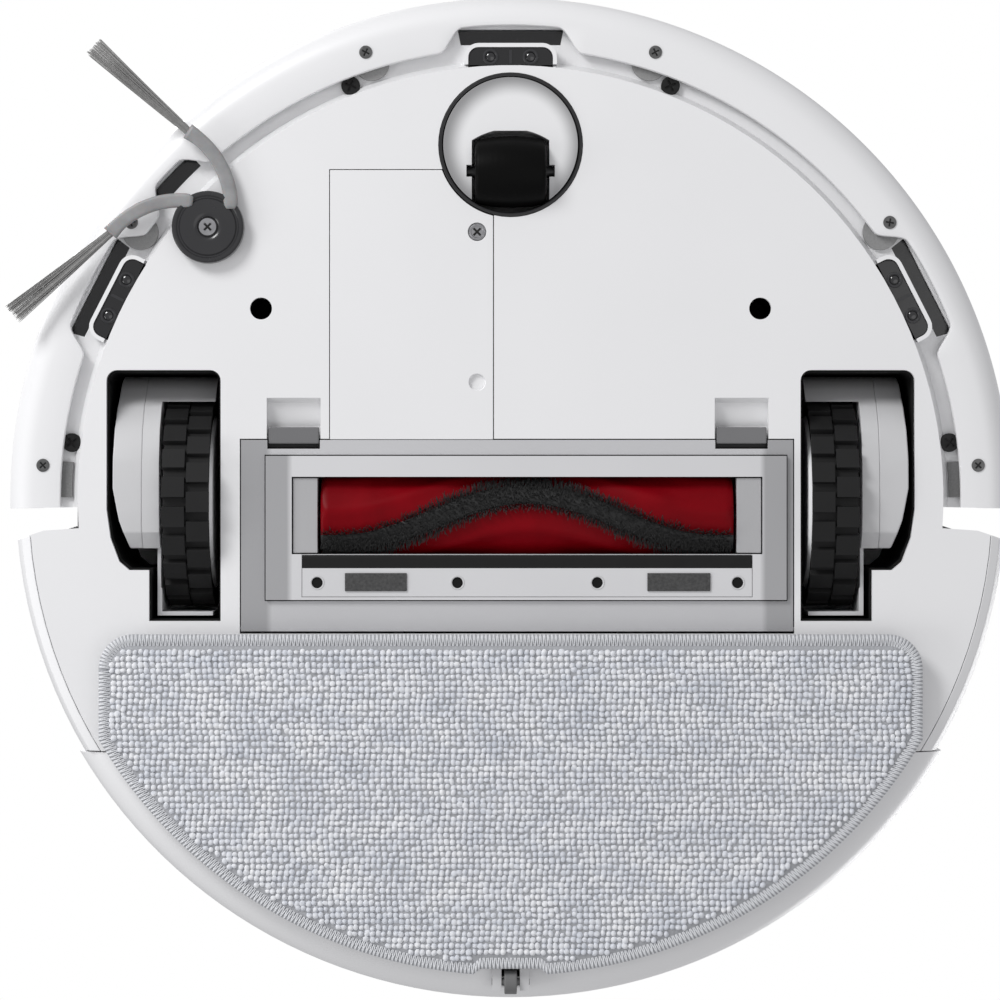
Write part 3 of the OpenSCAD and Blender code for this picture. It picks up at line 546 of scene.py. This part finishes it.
# ---------------------------------------------------------------------------
# Side brush hub: a glossy dark cap turned round the drive shaft, with a groove inside its rim and
# a crosshead screw sunk in its middle.
hub_gloss = moulded("hub_gloss", (0.018, 0.018, 0.02), (0.028, 0.028, 0.03), 0.26, Coat_Weight=0.25)
hub_low, hub_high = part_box("side_brush_screw")
hub_middle = (hub_low + hub_high) / 2
hub_middle.z = 0
hub_r, hub_face, hub_back, shaft_r, shaft_top, bore_r = 0.0126, 0.0042, 0.0086, 0.003, 0.018, 0.0014
hub_cap = lathe("side_brush_cap", [
    (bore_r, shaft_top), (bore_r, hub_face + 0.0014), (0.0034, hub_face + 0.0014),
    (0.0036, hub_face + 0.0006), (0.0042, hub_face + 0.0001), (0.0052, hub_face),
    (0.0096, hub_face), (0.0101, hub_face + 0.0005), (0.0106, hub_face + 0.0005),
    (0.0111, hub_face + 0.0001), (0.0119, hub_face + 0.0001), (0.0125, hub_face + 0.0006),
    (hub_r, hub_face + 0.0014), (hub_r, hub_back), (shaft_r, hub_back), (shaft_r, shaft_top),
    (bore_r, shaft_top)], hub_gloss, hub_middle, steps=96, body="side_brush")
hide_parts("side_brush_hub")
coloured(steel.material, "side_brush_screw")
# A black disc behind the screw's face paints the shade in its cross.
cross_shade_disc("side_brush_cross", (hub_middle.x, hub_middle.y, hub_low.z + cross_depth), 0.0016,
            "side_brush")

# ---------------------------------------------------------------------------
# Side brush arms: two curved ribbons of soft grey rubber, a little see-through, that start in
# the hub's groove and end in a thicker socket round the bristles.
arm_rubber = Finish("arm_rubber", Base_Color=(0.27, 0.27, 0.275), Roughness=0.45,
                    Subsurface_Weight=0.25, Subsurface_Scale=0.002)
arm_haze = arm_rubber.noise(220, 4)
arm_rubber.feed("Base Color", arm_rubber.tint(arm_haze, (0.2, 0.2, 0.205), (0.34, 0.34, 0.345)))
arm_rubber.feed("Roughness", arm_haze * 0.2 + 0.35)


def ribbon(name, path, widths, lows, highs, finish, body):
    """A strap with round edges along points in plan, with its width and heights at each."""
    points, faces, count = [], [], 12
    for i, here in enumerate(path):
        ahead = (path[min(i + 1, len(path) - 1)] - path[max(i - 1, 0)]).normalized()
        across = Vector((-ahead.y, ahead.x, 0))
        middle_z, half_z = (lows[i] + highs[i]) / 2, (highs[i] - lows[i]) / 2
        for step in range(count):
            angle = 2 * pi * (step + 0.5) / count
            wide = abs(cos(angle)) ** 0.45 * (1 if cos(angle) > 0 else -1)
            tall = abs(sin(angle)) ** 0.45 * (1 if sin(angle) > 0 else -1)
            spot = here + across * (wide * widths[i] / 2)
            points.append((spot.x, spot.y, middle_z + tall * half_z))
    for i in range(len(path) - 1):
        for step in range(count):
            a, b = i * count + step, i * count + (step + 1) % count
            faces.append((a, b, b + count, a + count))
    faces += [tuple(range(count)), tuple(range(len(points) - count, len(points)))[::-1]]
    piece = mesh_piece(name, points, faces, finish)
    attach(piece, body)
    return piece


def strands(name, roots, tips, radius, finish, body, sag=0.0, sides=4, stations=3):
    """Fine bristles in one mesh, each a tapering stem from its root to its tip."""
    roots, tips = np.array(roots), np.array(tips)
    along = tips - roots
    length = np.linalg.norm(along, axis=1, keepdims=True)
    along = along / length
    side = np.cross(along, [[0.31, 0.27, 0.91]])
    side /= np.linalg.norm(side, axis=1, keepdims=True)
    other = np.cross(along, side)
    rows = []
    for station in range(stations):
        t = station / (stations - 1)
        middle = roots + (tips - roots) * t + side * (sag * length * t * (1 - t))
        for corner in range(sides):
            angle = 2 * pi * corner / sides
            reach = radius * (1 - 0.35 * t)
            rows.append(middle + side * (cos(angle) * reach) + other * (sin(angle) * reach))
    points = np.stack(rows, axis=1).reshape(-1, 3)
    base = (np.arange(len(roots)) * sides * stations)[:, None]
    quads = [[s * sides + c, s * sides + (c + 1) % sides, (s + 1) * sides + (c + 1) % sides,
              (s + 1) * sides + c] for s in range(stations - 1) for c in range(sides)]
    quads.append([(stations - 1) * sides + c for c in range(4)] if sides == 4 else
                 [(stations - 1) * sides + c for c in (0, 1, 2, 2)])
    faces = (base[:, None, :] + np.array(quads)[None, :, :]).reshape(-1, 4)
    if sides == 3:
        faces = [tuple(dict.fromkeys(f)) for f in faces.tolist()]
    else:
        faces = faces.tolist()
    piece = mesh_piece(name, points.tolist(), faces, finish)
    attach(piece, body)
    return piece


grey_bristle = Finish("grey_bristle", Base_Color=(0.16, 0.155, 0.15), Roughness=0.5)
bristle_tone = grey_bristle.noise(700, 2)
grey_bristle.feed("Base Color", grey_bristle.tint(
    bristle_tone, (0.2, 0.198, 0.195), (0.33, 0.327, 0.323)))
chance = np.random.default_rng(7)
arc_middle, arc_r, arm_pitch = Vector((-0.0229, -0.0068, 0)), 0.031, 82
bristle_root, bristle_heading = Vector((-0.0066, -0.0332, 0)), -138
bristle_reach = 0.0446
arm_pieces, bristle_pieces = [], []
for arm, turn in (("front", 0), ("rear", -arm_pitch)):
    spin = Matrix.Rotation(radians(turn), 3, "Z")
    path, widths, lows, highs = [], [], [], []
    for step in range(25):
        t = step / 24
        angle = radians(1 - 60 * t)
        path.append(hub_middle + spin @ (arc_middle + arc_r * Vector((cos(angle), sin(angle), 0))))
        widths.append((0.005 + 0.0007 * max(0, t - 0.86) / 0.14) * min(1, 0.6 + 8 * t))
        lift = max(0, 1 - t / 0.22)
        lows.append(0.0046 - 0.0009 * lift)
        highs.append(0.0072 - 0.0022 * lift)
    arm_pieces.append(ribbon(f"{arm}_arm", path, widths, lows, highs,
                             arm_rubber.material, "side_brush"))
    out = spin @ Vector((cos(radians(bristle_heading)), sin(radians(bristle_heading)), 0))
    across = Vector((-out.y, out.x, 0))
    start = hub_middle + spin @ bristle_root
    roots, tips = [], []
    for strand in range(110):
        spread, height = chance.uniform(-1, 1), chance.uniform(-1, 1)
        reach = bristle_reach + chance.uniform(-0.0018, 0.0)
        tip_spread = spread * 0.0036 + chance.normal(0, 0.00025)
        root = start + out * 0.0002 + across * (spread * 0.0013)
        tip = start + out * reach + across * tip_spread
        roots.append((root.x, root.y, 0.0059 + height * 0.0006))
        tips.append((tip.x, tip.y, 0.0038 + height * 0.0009))
    bristle_pieces.append(strands(f"{arm}_bristle_fan", roots, tips, 0.00014,
                                  grey_bristle.material, "side_brush", sag=0.01, stations=4))
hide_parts("side_brush_arms")
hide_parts("side_brush_bristles")

# ---------------------------------------------------------------------------
# Brush cover and floating guard: silver grey ABS with a fine texture, a bar held by four black
# screws, two felt strips glued on it and a black rubber scraper along the mouth.


def grey_with_end_shade(name, dark, light, middle, half, roughness):
    """Textured silver grey whose two end bands, beyond half from the middle, are darker: painted
    shade for sides that catch less light.
    """
    made = Finish(name, Base_Color=light, Roughness=roughness)
    split = made.node("ShaderNodeSeparateXYZ", {}, {0: made.place()}, out=0)
    beyond = (split - middle).math("ABSOLUTE", split - middle, 0) - half
    # Painted shade: the two end bands take the darker colour.
    painted_end_shade = made.node("ShaderNodeClamp", {}, {"Value": beyond * 400})
    drift = made.noise(14, 4) * 0.3
    made.feed("Base Color", made.tint(made.node("ShaderNodeClamp", {}, {
        "Value": painted_end_shade + drift}), light, dark))
    made.feed("Roughness", made.noise(60, 5) * 0.12 + (roughness - 0.06))
    made.bump(made.noise(grain_scale, 2), grain_depth, 0.35)
    return made.material


# Each one's darker colour is the painted shade of its two end bands.
cover_grey = grey_with_end_shade("cover_grey", (0.35, 0.35, 0.36), (0.57, 0.57, 0.585), 0.0022, 0.0855, 0.4)
guard_grey = grey_with_end_shade("guard_grey", (0.36, 0.36, 0.37), (0.7, 0.7, 0.715), 0.0054, 0.0815, 0.38)
softened("brush_cover", cover_grey, 0.0005, 3)
softened("guard_frame", guard_grey, 0.0004, 3)
softened("guard_bar", guard_grey, 0.0003)
latch_grey = moulded("latch_grey", (0.13, 0.13, 0.135), (0.19, 0.19, 0.195), 0.4)
for latch in ("left_latch", "right_latch"):
    softened(latch, latch_grey, 0.0004)
softened("brush_bearings", moulded("bearing_grey", (0.38, 0.38, 0.39), (0.45, 0.45, 0.46), 0.4),
         0.0008, 3)
scraper = Finish("scraper_rubber", Base_Color=(0.008, 0.008, 0.008), Roughness=0.6,
                 Specular_IOR_Level=0.25)
scraper.feed("Roughness", scraper.noise(240, 4) * 0.3 + 0.45)
softened("scraper_strip", scraper.material, 0.0002)
coloured(lining_black, "guard_screws")
felt = Finish("felt", Base_Color=(0.045, 0.045, 0.046), Roughness=0.98, Sheen_Weight=0.3)
fibres = felt.noise(1100, 5)
felt.feed("Base Color", felt.tint(fibres, (0.02, 0.02, 0.021), (0.1, 0.1, 0.1)))
felt.bump(fibres, 0.0004, 0.9)
softened("felt_pads", felt.material, 0.0002)
bar_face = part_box("guard_bar")[0].z
screw_low, screw_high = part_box("guard_screws")
collar_hole = 0.00195
span = screw_high.x - screw_low.x - 2 * collar_hole
for number in range(4):
    place = (screw_low.x + collar_hole + span * number / 3, (screw_low.y + screw_high.y) / 2,
             bar_face)
    lathe(f"bar_collar_{number + 1}", [
        (collar_hole, 0.0004), (collar_hole, 0), (collar_hole + 0.0002, -0.00015),
        (collar_hole + 0.0005, -0.00015), (collar_hole + 0.0007, 0.00005)], arm_grey, place,
        steps=36, body="guard")

# ---------------------------------------------------------------------------
# Main brush core: red rubber moulded on a rod, with soft raised ribs that run to the middle as
# a V between the two rows of bristles.
core_rubber = Finish("core_rubber", Base_Color=(0.17, 0.0003, 0.004), Roughness=0.5,
                     Specular_IOR_Level=0.08)
core_haze = core_rubber.noise(70, 5)
core_rubber.feed("Base Color", core_rubber.tint(core_haze, (0.12, 0.0002, 0.0025),
                                                (0.24, 0.0003, 0.005)))
core_rubber.feed("Roughness", core_haze * 0.3 + 0.28)
core_low, core_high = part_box("roller_core")
bristle_low, bristle_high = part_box("roller_bristles")
axis_y, axis_z = (core_low.y + core_high.y) / 2, (core_low.z + core_high.z) / 2
core_r = (core_high.z - core_low.z) / 2
rod_end = 0.0087
left_end, right_end = core_low.x + rod_end, core_high.x - rod_end
centre_x, half_x = (left_end + right_end) / 2, (right_end - left_end) / 2


def row_angle(x):
    """Angle of a bristle row round the core, from straight up, at a place along it."""
    return radians(-29 + 68 * eased(1.1 * abs(x - centre_x) / half_x))


def on_core(x, angle, reach):
    """A point at an angle and a distance from the brush's axis."""
    return (x, axis_y - sin(angle) * reach, axis_z + cos(angle) * reach)


across_count, round_count = 150, 144
points, faces = [], []
for i in range(across_count + 1):
    x = left_end + (right_end - left_end) * i / across_count
    inset = min(1, min(i, across_count - i) / 2)
    for j in range(round_count):
        angle = 2 * pi * j / round_count
        rib = (0.5 + 0.5 * cos(8 * (angle - row_angle(x)))) ** 2
        reach = core_r - 0.0007 - 0.0004 * (1 - inset) + 0.0007 * rib * inset
        points.append(on_core(x, angle, reach))
for i in range(across_count):
    for j in range(round_count):
        a, b = i * round_count + j, i * round_count + (j + 1) % round_count
        faces.append((a, b, b + round_count, a + round_count))
faces += [tuple(range(round_count))[::-1], tuple(range(len(points) - round_count, len(points)))]
core_skin = mesh_piece("core_ribs", points, faces, core_rubber.material)
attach(core_skin, "main_brush")
rod_r = 0.003
lathe("core_rod", [(axis_r, core_low.x), (rod_r, core_low.x), (rod_r, core_high.x),
                   (axis_r, core_high.x)], inner_black, (0, axis_y, axis_z),
      Matrix.Rotation(radians(90), 3, "Y"), steps=24, body="main_brush")
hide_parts("roller_core")

# ---------------------------------------------------------------------------
# Main brush bristles: two dense rows of black nylon tufts, set in the rubber along the V.
brush_nylon = Finish("brush_nylon", Base_Color=(0.012, 0.012, 0.013), Roughness=0.5)
nylon_tone = brush_nylon.noise(900, 2)
brush_nylon.feed("Base Color", brush_nylon.tint(nylon_tone, (0.003,) * 3, (0.022,) * 3))
bristle_r = (bristle_high.z - bristle_low.z) / 2
bed_points, bed_faces = [], []
for half_turn in (0, pi):
    start = len(bed_points)
    for i in range(across_count + 1):
        x = left_end + (right_end - left_end) * i / across_count
        bed_points += [on_core(x, row_angle(x) + half_turn + radians(3.4 * k), core_r + 0.0003
                               if abs(k) < 4 else core_r - 0.0004) for k in range(-4, 5)]
    for i in range(across_count):
        for k in range(8):
            a = start + i * 9 + k
            bed_faces.append((a, a + 9, a + 10, a + 1))
bed = mesh_piece("brush_bed", bed_points, bed_faces, brush_nylon.material)
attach(bed, "main_brush")
row_half = 0.0046
tuft_pitch = 0.0005
roots, tips = [], []
for x in np.arange(left_end + 0.001, right_end - 0.001, tuft_pitch):
    for half_turn in (0, pi):
        for strand in range(20):
            lean = (strand - 9.5) / 9.5 * row_half / core_r + chance.normal(0, 0.02)
            angle = row_angle(x) + half_turn + lean
            root_x = float(x + chance.uniform(-1, 1) * tuft_pitch)
            tip_x = root_x + chance.normal(0, 0.0007)
            tip_x = min(right_end, max(left_end, tip_x))
            reach = bristle_r - abs(chance.normal(0, 0.0005))
            roots.append(on_core(root_x, angle, core_r - 0.0008))
            tips.append(on_core(tip_x, angle + lean * 0.35 + chance.normal(0, 0.03), reach))
tufts = strands("brush_tufts", roots, tips, 0.00016, brush_nylon.material, "main_brush",
                sag=0.02, sides=3, stations=2)
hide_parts("roller_bristles")

# ---------------------------------------------------------------------------
# Tank with its dust bin and catch: white ABS like the shell, a smoke-tinted bin inside and a
# grey push catch at the rear.
softened("tank_shell", shell_white, 0.0008, 3)
coloured(moulded("bin_smoke", (0.09, 0.09, 0.1), (0.13, 0.13, 0.14), 0.25), "dust_bin")
softened("tank_latch", moulded("catch_grey", (0.3, 0.3, 0.31), (0.36, 0.36, 0.37), 0.4), 0.0006)

# ---------------------------------------------------------------------------
# Mop bracket and rear roller: a pale plastic plate that holds the pad, with a small dark wheel
# between two ears at its rear.
softened("mop_bracket", arm_grey, 0.0006)
wheel_grey = moulded("wheel_grey", (0.12, 0.12, 0.122), (0.17, 0.17, 0.172), 0.5)
softened("rear_roller", wheel_grey, 0.0004)

# ---------------------------------------------------------------------------
# Mop pad: microfibre cloth on a thin felt core, with its edge rolled and overlocked. The core is
# one crowned closed form, lowest in its middle, and pulled in along the stitched edge.
cloth_core = Finish("cloth_core", Base_Color=(0.3, 0.31, 0.33), Roughness=0.95, Sheen_Weight=0.2)
weave = cloth_core.noise(1400, 4)
cloth_core.feed("Base Color", cloth_core.tint(weave, (0.3, 0.305, 0.32), (0.47, 0.48, 0.51)))
cloth_core.bump(weave, 0.0003, 0.8)
pad_low, pad_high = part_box("mop_pad")
pad_half, pad_front = (pad_high.x - pad_low.x) / 2, pad_low.y
pad_r, pad_corner, hem = 0.166, 0.012, 0.0036
notch_half, notch_deep = 0.013, 0.0024


def arc_points(middle, radius, start, end, count):
    return [(middle[0] + radius * cos(radians(start + (end - start) * i / count)),
             middle[1] + radius * sin(radians(start + (end - start) * i / count)))
            for i in range(count + 1)]


def pad_outline(inset):
    """The pad's plan set in by a distance, with the same points in the same order each time."""
    x, r, corner = pad_half - inset, pad_r - inset, max(pad_corner - inset, 0.001)
    join = degrees(acos(x / r))
    front = pad_front + inset
    notch = degrees(acos(notch_half / pad_r))
    mid = 120
    return (arc_points((-x + corner, front + corner), corner, 180, 270, 14)
            + [(-x + corner + (2 * x - 2 * corner) * i / 215, front) for i in range(1, 215)]
            + arc_points((x - corner, front + corner), corner, 270, 360, 14)
            + [(x, front + corner + (r * sin(radians(join)) - front - corner) * i / 34)
               for i in range(1, 34)]
            + arc_points((0, 0), r, join, notch, mid)
            + [(notch_half * (0.8 - 1.6 * i / 16), (r - notch_deep)) for i in range(17)]
            + arc_points((0, 0), r, 180 - notch, 180 - join, mid)
            + [(-x, r * sin(radians(join)) + (front + corner - r * sin(radians(join))) * i / 34)
               for i in range(1, 34)])


rings = [(0.0030, 0.00395), (0.0008, 0.0038), (0.0001, 0.0029), (0.0001, 0.0019),
         (0.0005, 0.0011), (0.0013, 0.0007), (0.0023, 0.0007), (0.0031, 0.0011),
         (hem + 0.0001, 0.0015), (0.0042, 0.0012), (0.0060, 0.0010), (0.0120, 0.00085)]
points, faces = [], []
outlines = [pad_outline(inset) for inset, height in rings]
ring_size = len(outlines[0])
for outline, (inset, height) in zip(outlines, rings):
    points += [(x, y, height) for x, y in outline]
for ring in range(len(rings) - 1):
    for j in range(ring_size):
        a, b = ring * ring_size + j, ring * ring_size + (j + 1) % ring_size
        faces.append((a, a + ring_size, b + ring_size, b))
faces += [tuple(range(ring_size)), tuple(range(len(points) - ring_size, len(points)))[::-1]]
pad_core = mesh_piece("pad_core", points, faces, cloth_core.material)
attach(pad_core, "mop")
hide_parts("mop_pad")

# ---------------------------------------------------------------------------
# Mop pad loops: rows of plump knitted microfibre loops, each a little different in size, lean
# and height, in a pale blue grey that drifts in soft patches.
loop_yarn = Finish("loop_yarn", Base_Color=(0.66, 0.68, 0.74), Roughness=0.9, Sheen_Weight=0.3,
                   Sheen_Roughness=0.5)
patches = loop_yarn.node("ShaderNodeTexNoise", {}, {
    "Vector": loop_yarn.place((1, 1.6, 1)), "Scale": 62.0, "Detail": 3.0}, out="Fac")
per_loop = loop_yarn.noise(520, 1)
loop_yarn.feed("Base Color", loop_yarn.ramp(
    patches * 0.62 + per_loop * 0.38, (0.3, (0.58, 0.61, 0.67)), (0.45, (0.69, 0.71, 0.76)),
    (0.58, (0.79, 0.8, 0.83)), (0.75, (0.87, 0.87, 0.88))))
loop_yarn.bump(loop_yarn.noise(4200, 3), 0.00012, 0.6)
loop_pitch = (0.0020, 0.00212)
loop_size = (0.00104, 0.00112, 0.0009)
loop_inset, seam_y = 0.0046, 0.1032
chance = np.random.default_rng(23)
columns = np.arange(-0.142, 0.142, loop_pitch[0])
lines = np.arange(pad_front, 0.166, loop_pitch[1])
spots = np.array([(x, y) for y in lines for x in columns])
spots += chance.normal(0, (0.00013, 0.00016), spots.shape)
spots[:, 0] += 0.0004 * np.sin(spots[:, 1] * 310) + 0.00015 * np.sin(spots[:, 1] * 2900)
inner_x, inner_r, inner_front = pad_half - loop_inset, pad_r - loop_inset, pad_front + loop_inset
corner_r = pad_corner - loop_inset
corner_x = np.maximum(np.abs(spots[:, 0]) - (inner_x - corner_r), 0)
corner_y = np.maximum((inner_front + corner_r) - spots[:, 1], 0)
inside = ((np.hypot(corner_x, corner_y) < corner_r) & (np.abs(spots[:, 0]) < inner_x)
          & (np.hypot(spots[:, 0], spots[:, 1]) < inner_r)
          & ~((np.abs(spots[:, 0]) < notch_half) & (spots[:, 1] > inner_r - notch_deep)))
spots = spots[inside]
count = len(spots)
around, levels = 7, (-0.55, 0.1, 0.62, 0.9)
unit = []
for k, level in enumerate(levels):
    reach = (1 - level * level) ** 0.5
    for a in range(around):
        angle = 2 * pi * (a + 0.5 * (k % 2)) / around
        unit.append((cos(angle) * reach, sin(angle) * reach, -level))
unit = np.array(unit + [(0, 0, -1.0)])
scale = np.array(loop_size) * chance.normal(1, (0.1, 0.12, 0.08), (count, 3))
shape = unit[None, :, :] * scale[:, None, :]
lean = radians(24) * chance.normal(0.35, 0.8, count)
turned_x = shape[:, :, 0] * np.cos(lean)[:, None] - shape[:, :, 1] * np.sin(lean)[:, None]
turned_y = shape[:, :, 0] * np.sin(lean)[:, None] + shape[:, :, 1] * np.cos(lean)[:, None]
height = 0.00098 + chance.normal(0, 0.00008, count)
height += 0.00035 * (np.abs(spots[:, 1] - seam_y) < 0.0009)
tilt = chance.normal(0, 0.22, count)
points = np.stack([turned_x + spots[:, :1], turned_y + spots[:, 1:],
                   shape[:, :, 2] + height[:, None] + turned_y * tilt[:, None]], axis=2)
points[:, :, 2] = np.maximum(points[:, :, 2], 0.00012)
last = len(unit) - 1
faces = [(k * around + a, k * around + (a + 1) % around, (k + 1) * around + (a + 1) % around,
          (k + 1) * around + a) for k in range(len(levels) - 1) for a in range(around)]
caps = [(last - around + a, last - around + (a + 1) % around, last, last) for a in range(around)]
base = (np.arange(count) * len(unit))[:, None, None]
quads = (base + np.array(faces + caps)[None, :, :]).reshape(-1, 4).tolist()
quads = [q if q[2] != q[3] else q[:3] for q in quads]
loops = mesh_piece("pad_loops", points.reshape(-1, 3).tolist(), quads, loop_yarn.material)
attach(loops, "mop")

# ---------------------------------------------------------------------------
# Mop pad edge: overlock thread, one pale zigzag over the rolled hem all the way round.
edge_thread = Finish("edge_thread", Base_Color=(0.55, 0.56, 0.59), Roughness=0.8)
twist = edge_thread.noise(1900, 3)
edge_thread.feed("Base Color", edge_thread.tint(twist, (0.6, 0.61, 0.64), (0.85, 0.86, 0.88)))
edge_thread.bump(twist, 0.00008, 0.6)
stitch_pitch, thread_r = 0.00135, 0.00024
across_hem = [(0.0002, 0.0021), (0.0004, 0.0011), (0.0013, 0.0005), (0.0023, 0.0005),
              (0.0031, 0.0009), (0.0040, 0.0013)]
tracks_round = [np.array(pad_outline(inset) + pad_outline(inset)[:1])
                for inset, level in across_hem]
lengths = np.concatenate([[0], np.cumsum(np.linalg.norm(np.diff(tracks_round[0], axis=0), axis=1))])
stitches = int(lengths[-1] / stitch_pitch)
points, faces, sides = [], [], 5
for stitch in range(stitches):
    for way in (1, -1):
        line = []
        for k, (inset, level) in enumerate(across_hem):
            share = k / (len(across_hem) - 1)
            run = (stitch + 0.5 + way * (0.5 * share if way == 1 else 0.22 * share)) * stitch_pitch
            run += chance.normal(0, 0.00003)
            x = np.interp(run % lengths[-1], lengths, tracks_round[k][:, 0])
            y = np.interp(run % lengths[-1], lengths, tracks_round[k][:, 1])
            line.append(Vector((x, y, level + (0.00008 if way == 1 else 0.0))))
        for k, here in enumerate(line):
            ahead = (line[min(k + 1, len(line) - 1)] - line[max(k - 1, 0)]).normalized()
            side = ahead.cross(Vector((0, 0, 1))).normalized()
            rise = side.cross(ahead)
            for corner in range(sides):
                angle = 2 * pi * corner / sides
                spot = here + side * (cos(angle) * thread_r) + rise * (sin(angle) * thread_r)
                points.append((spot.x, spot.y, max(0.00005, spot.z)))
        start = len(points) - len(line) * sides
        for k in range(len(line) - 1):
            for corner in range(sides):
                a, b = start + k * sides + corner, start + k * sides + (corner + 1) % sides
                faces.append((a, b, b + sides, a + sides))
stitching = mesh_piece("pad_overlock", points, faces, edge_thread.material)
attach(stitching, "mop")

# ---------------------------------------------------------------------------
# Top side: glossy white deck panel and buttons, and the laser turret's white cap over its
# smoked rotor.
deck_gloss = moulded("deck_gloss", (0.78, 0.785, 0.8), (0.82, 0.825, 0.84), 0.16, Coat_Weight=0.5)
softened("deck_panel", deck_gloss, 0.0004)
for button in ("power_button", "home_button"):
    softened(button, deck_gloss, 0.0004, 3)
softened("lidar_cap", shell_white, 0.0008, 3)
softened("lidar_rotor", smoked.material, 0.0006, 3)
coloured(trim_black, "lidar_base")
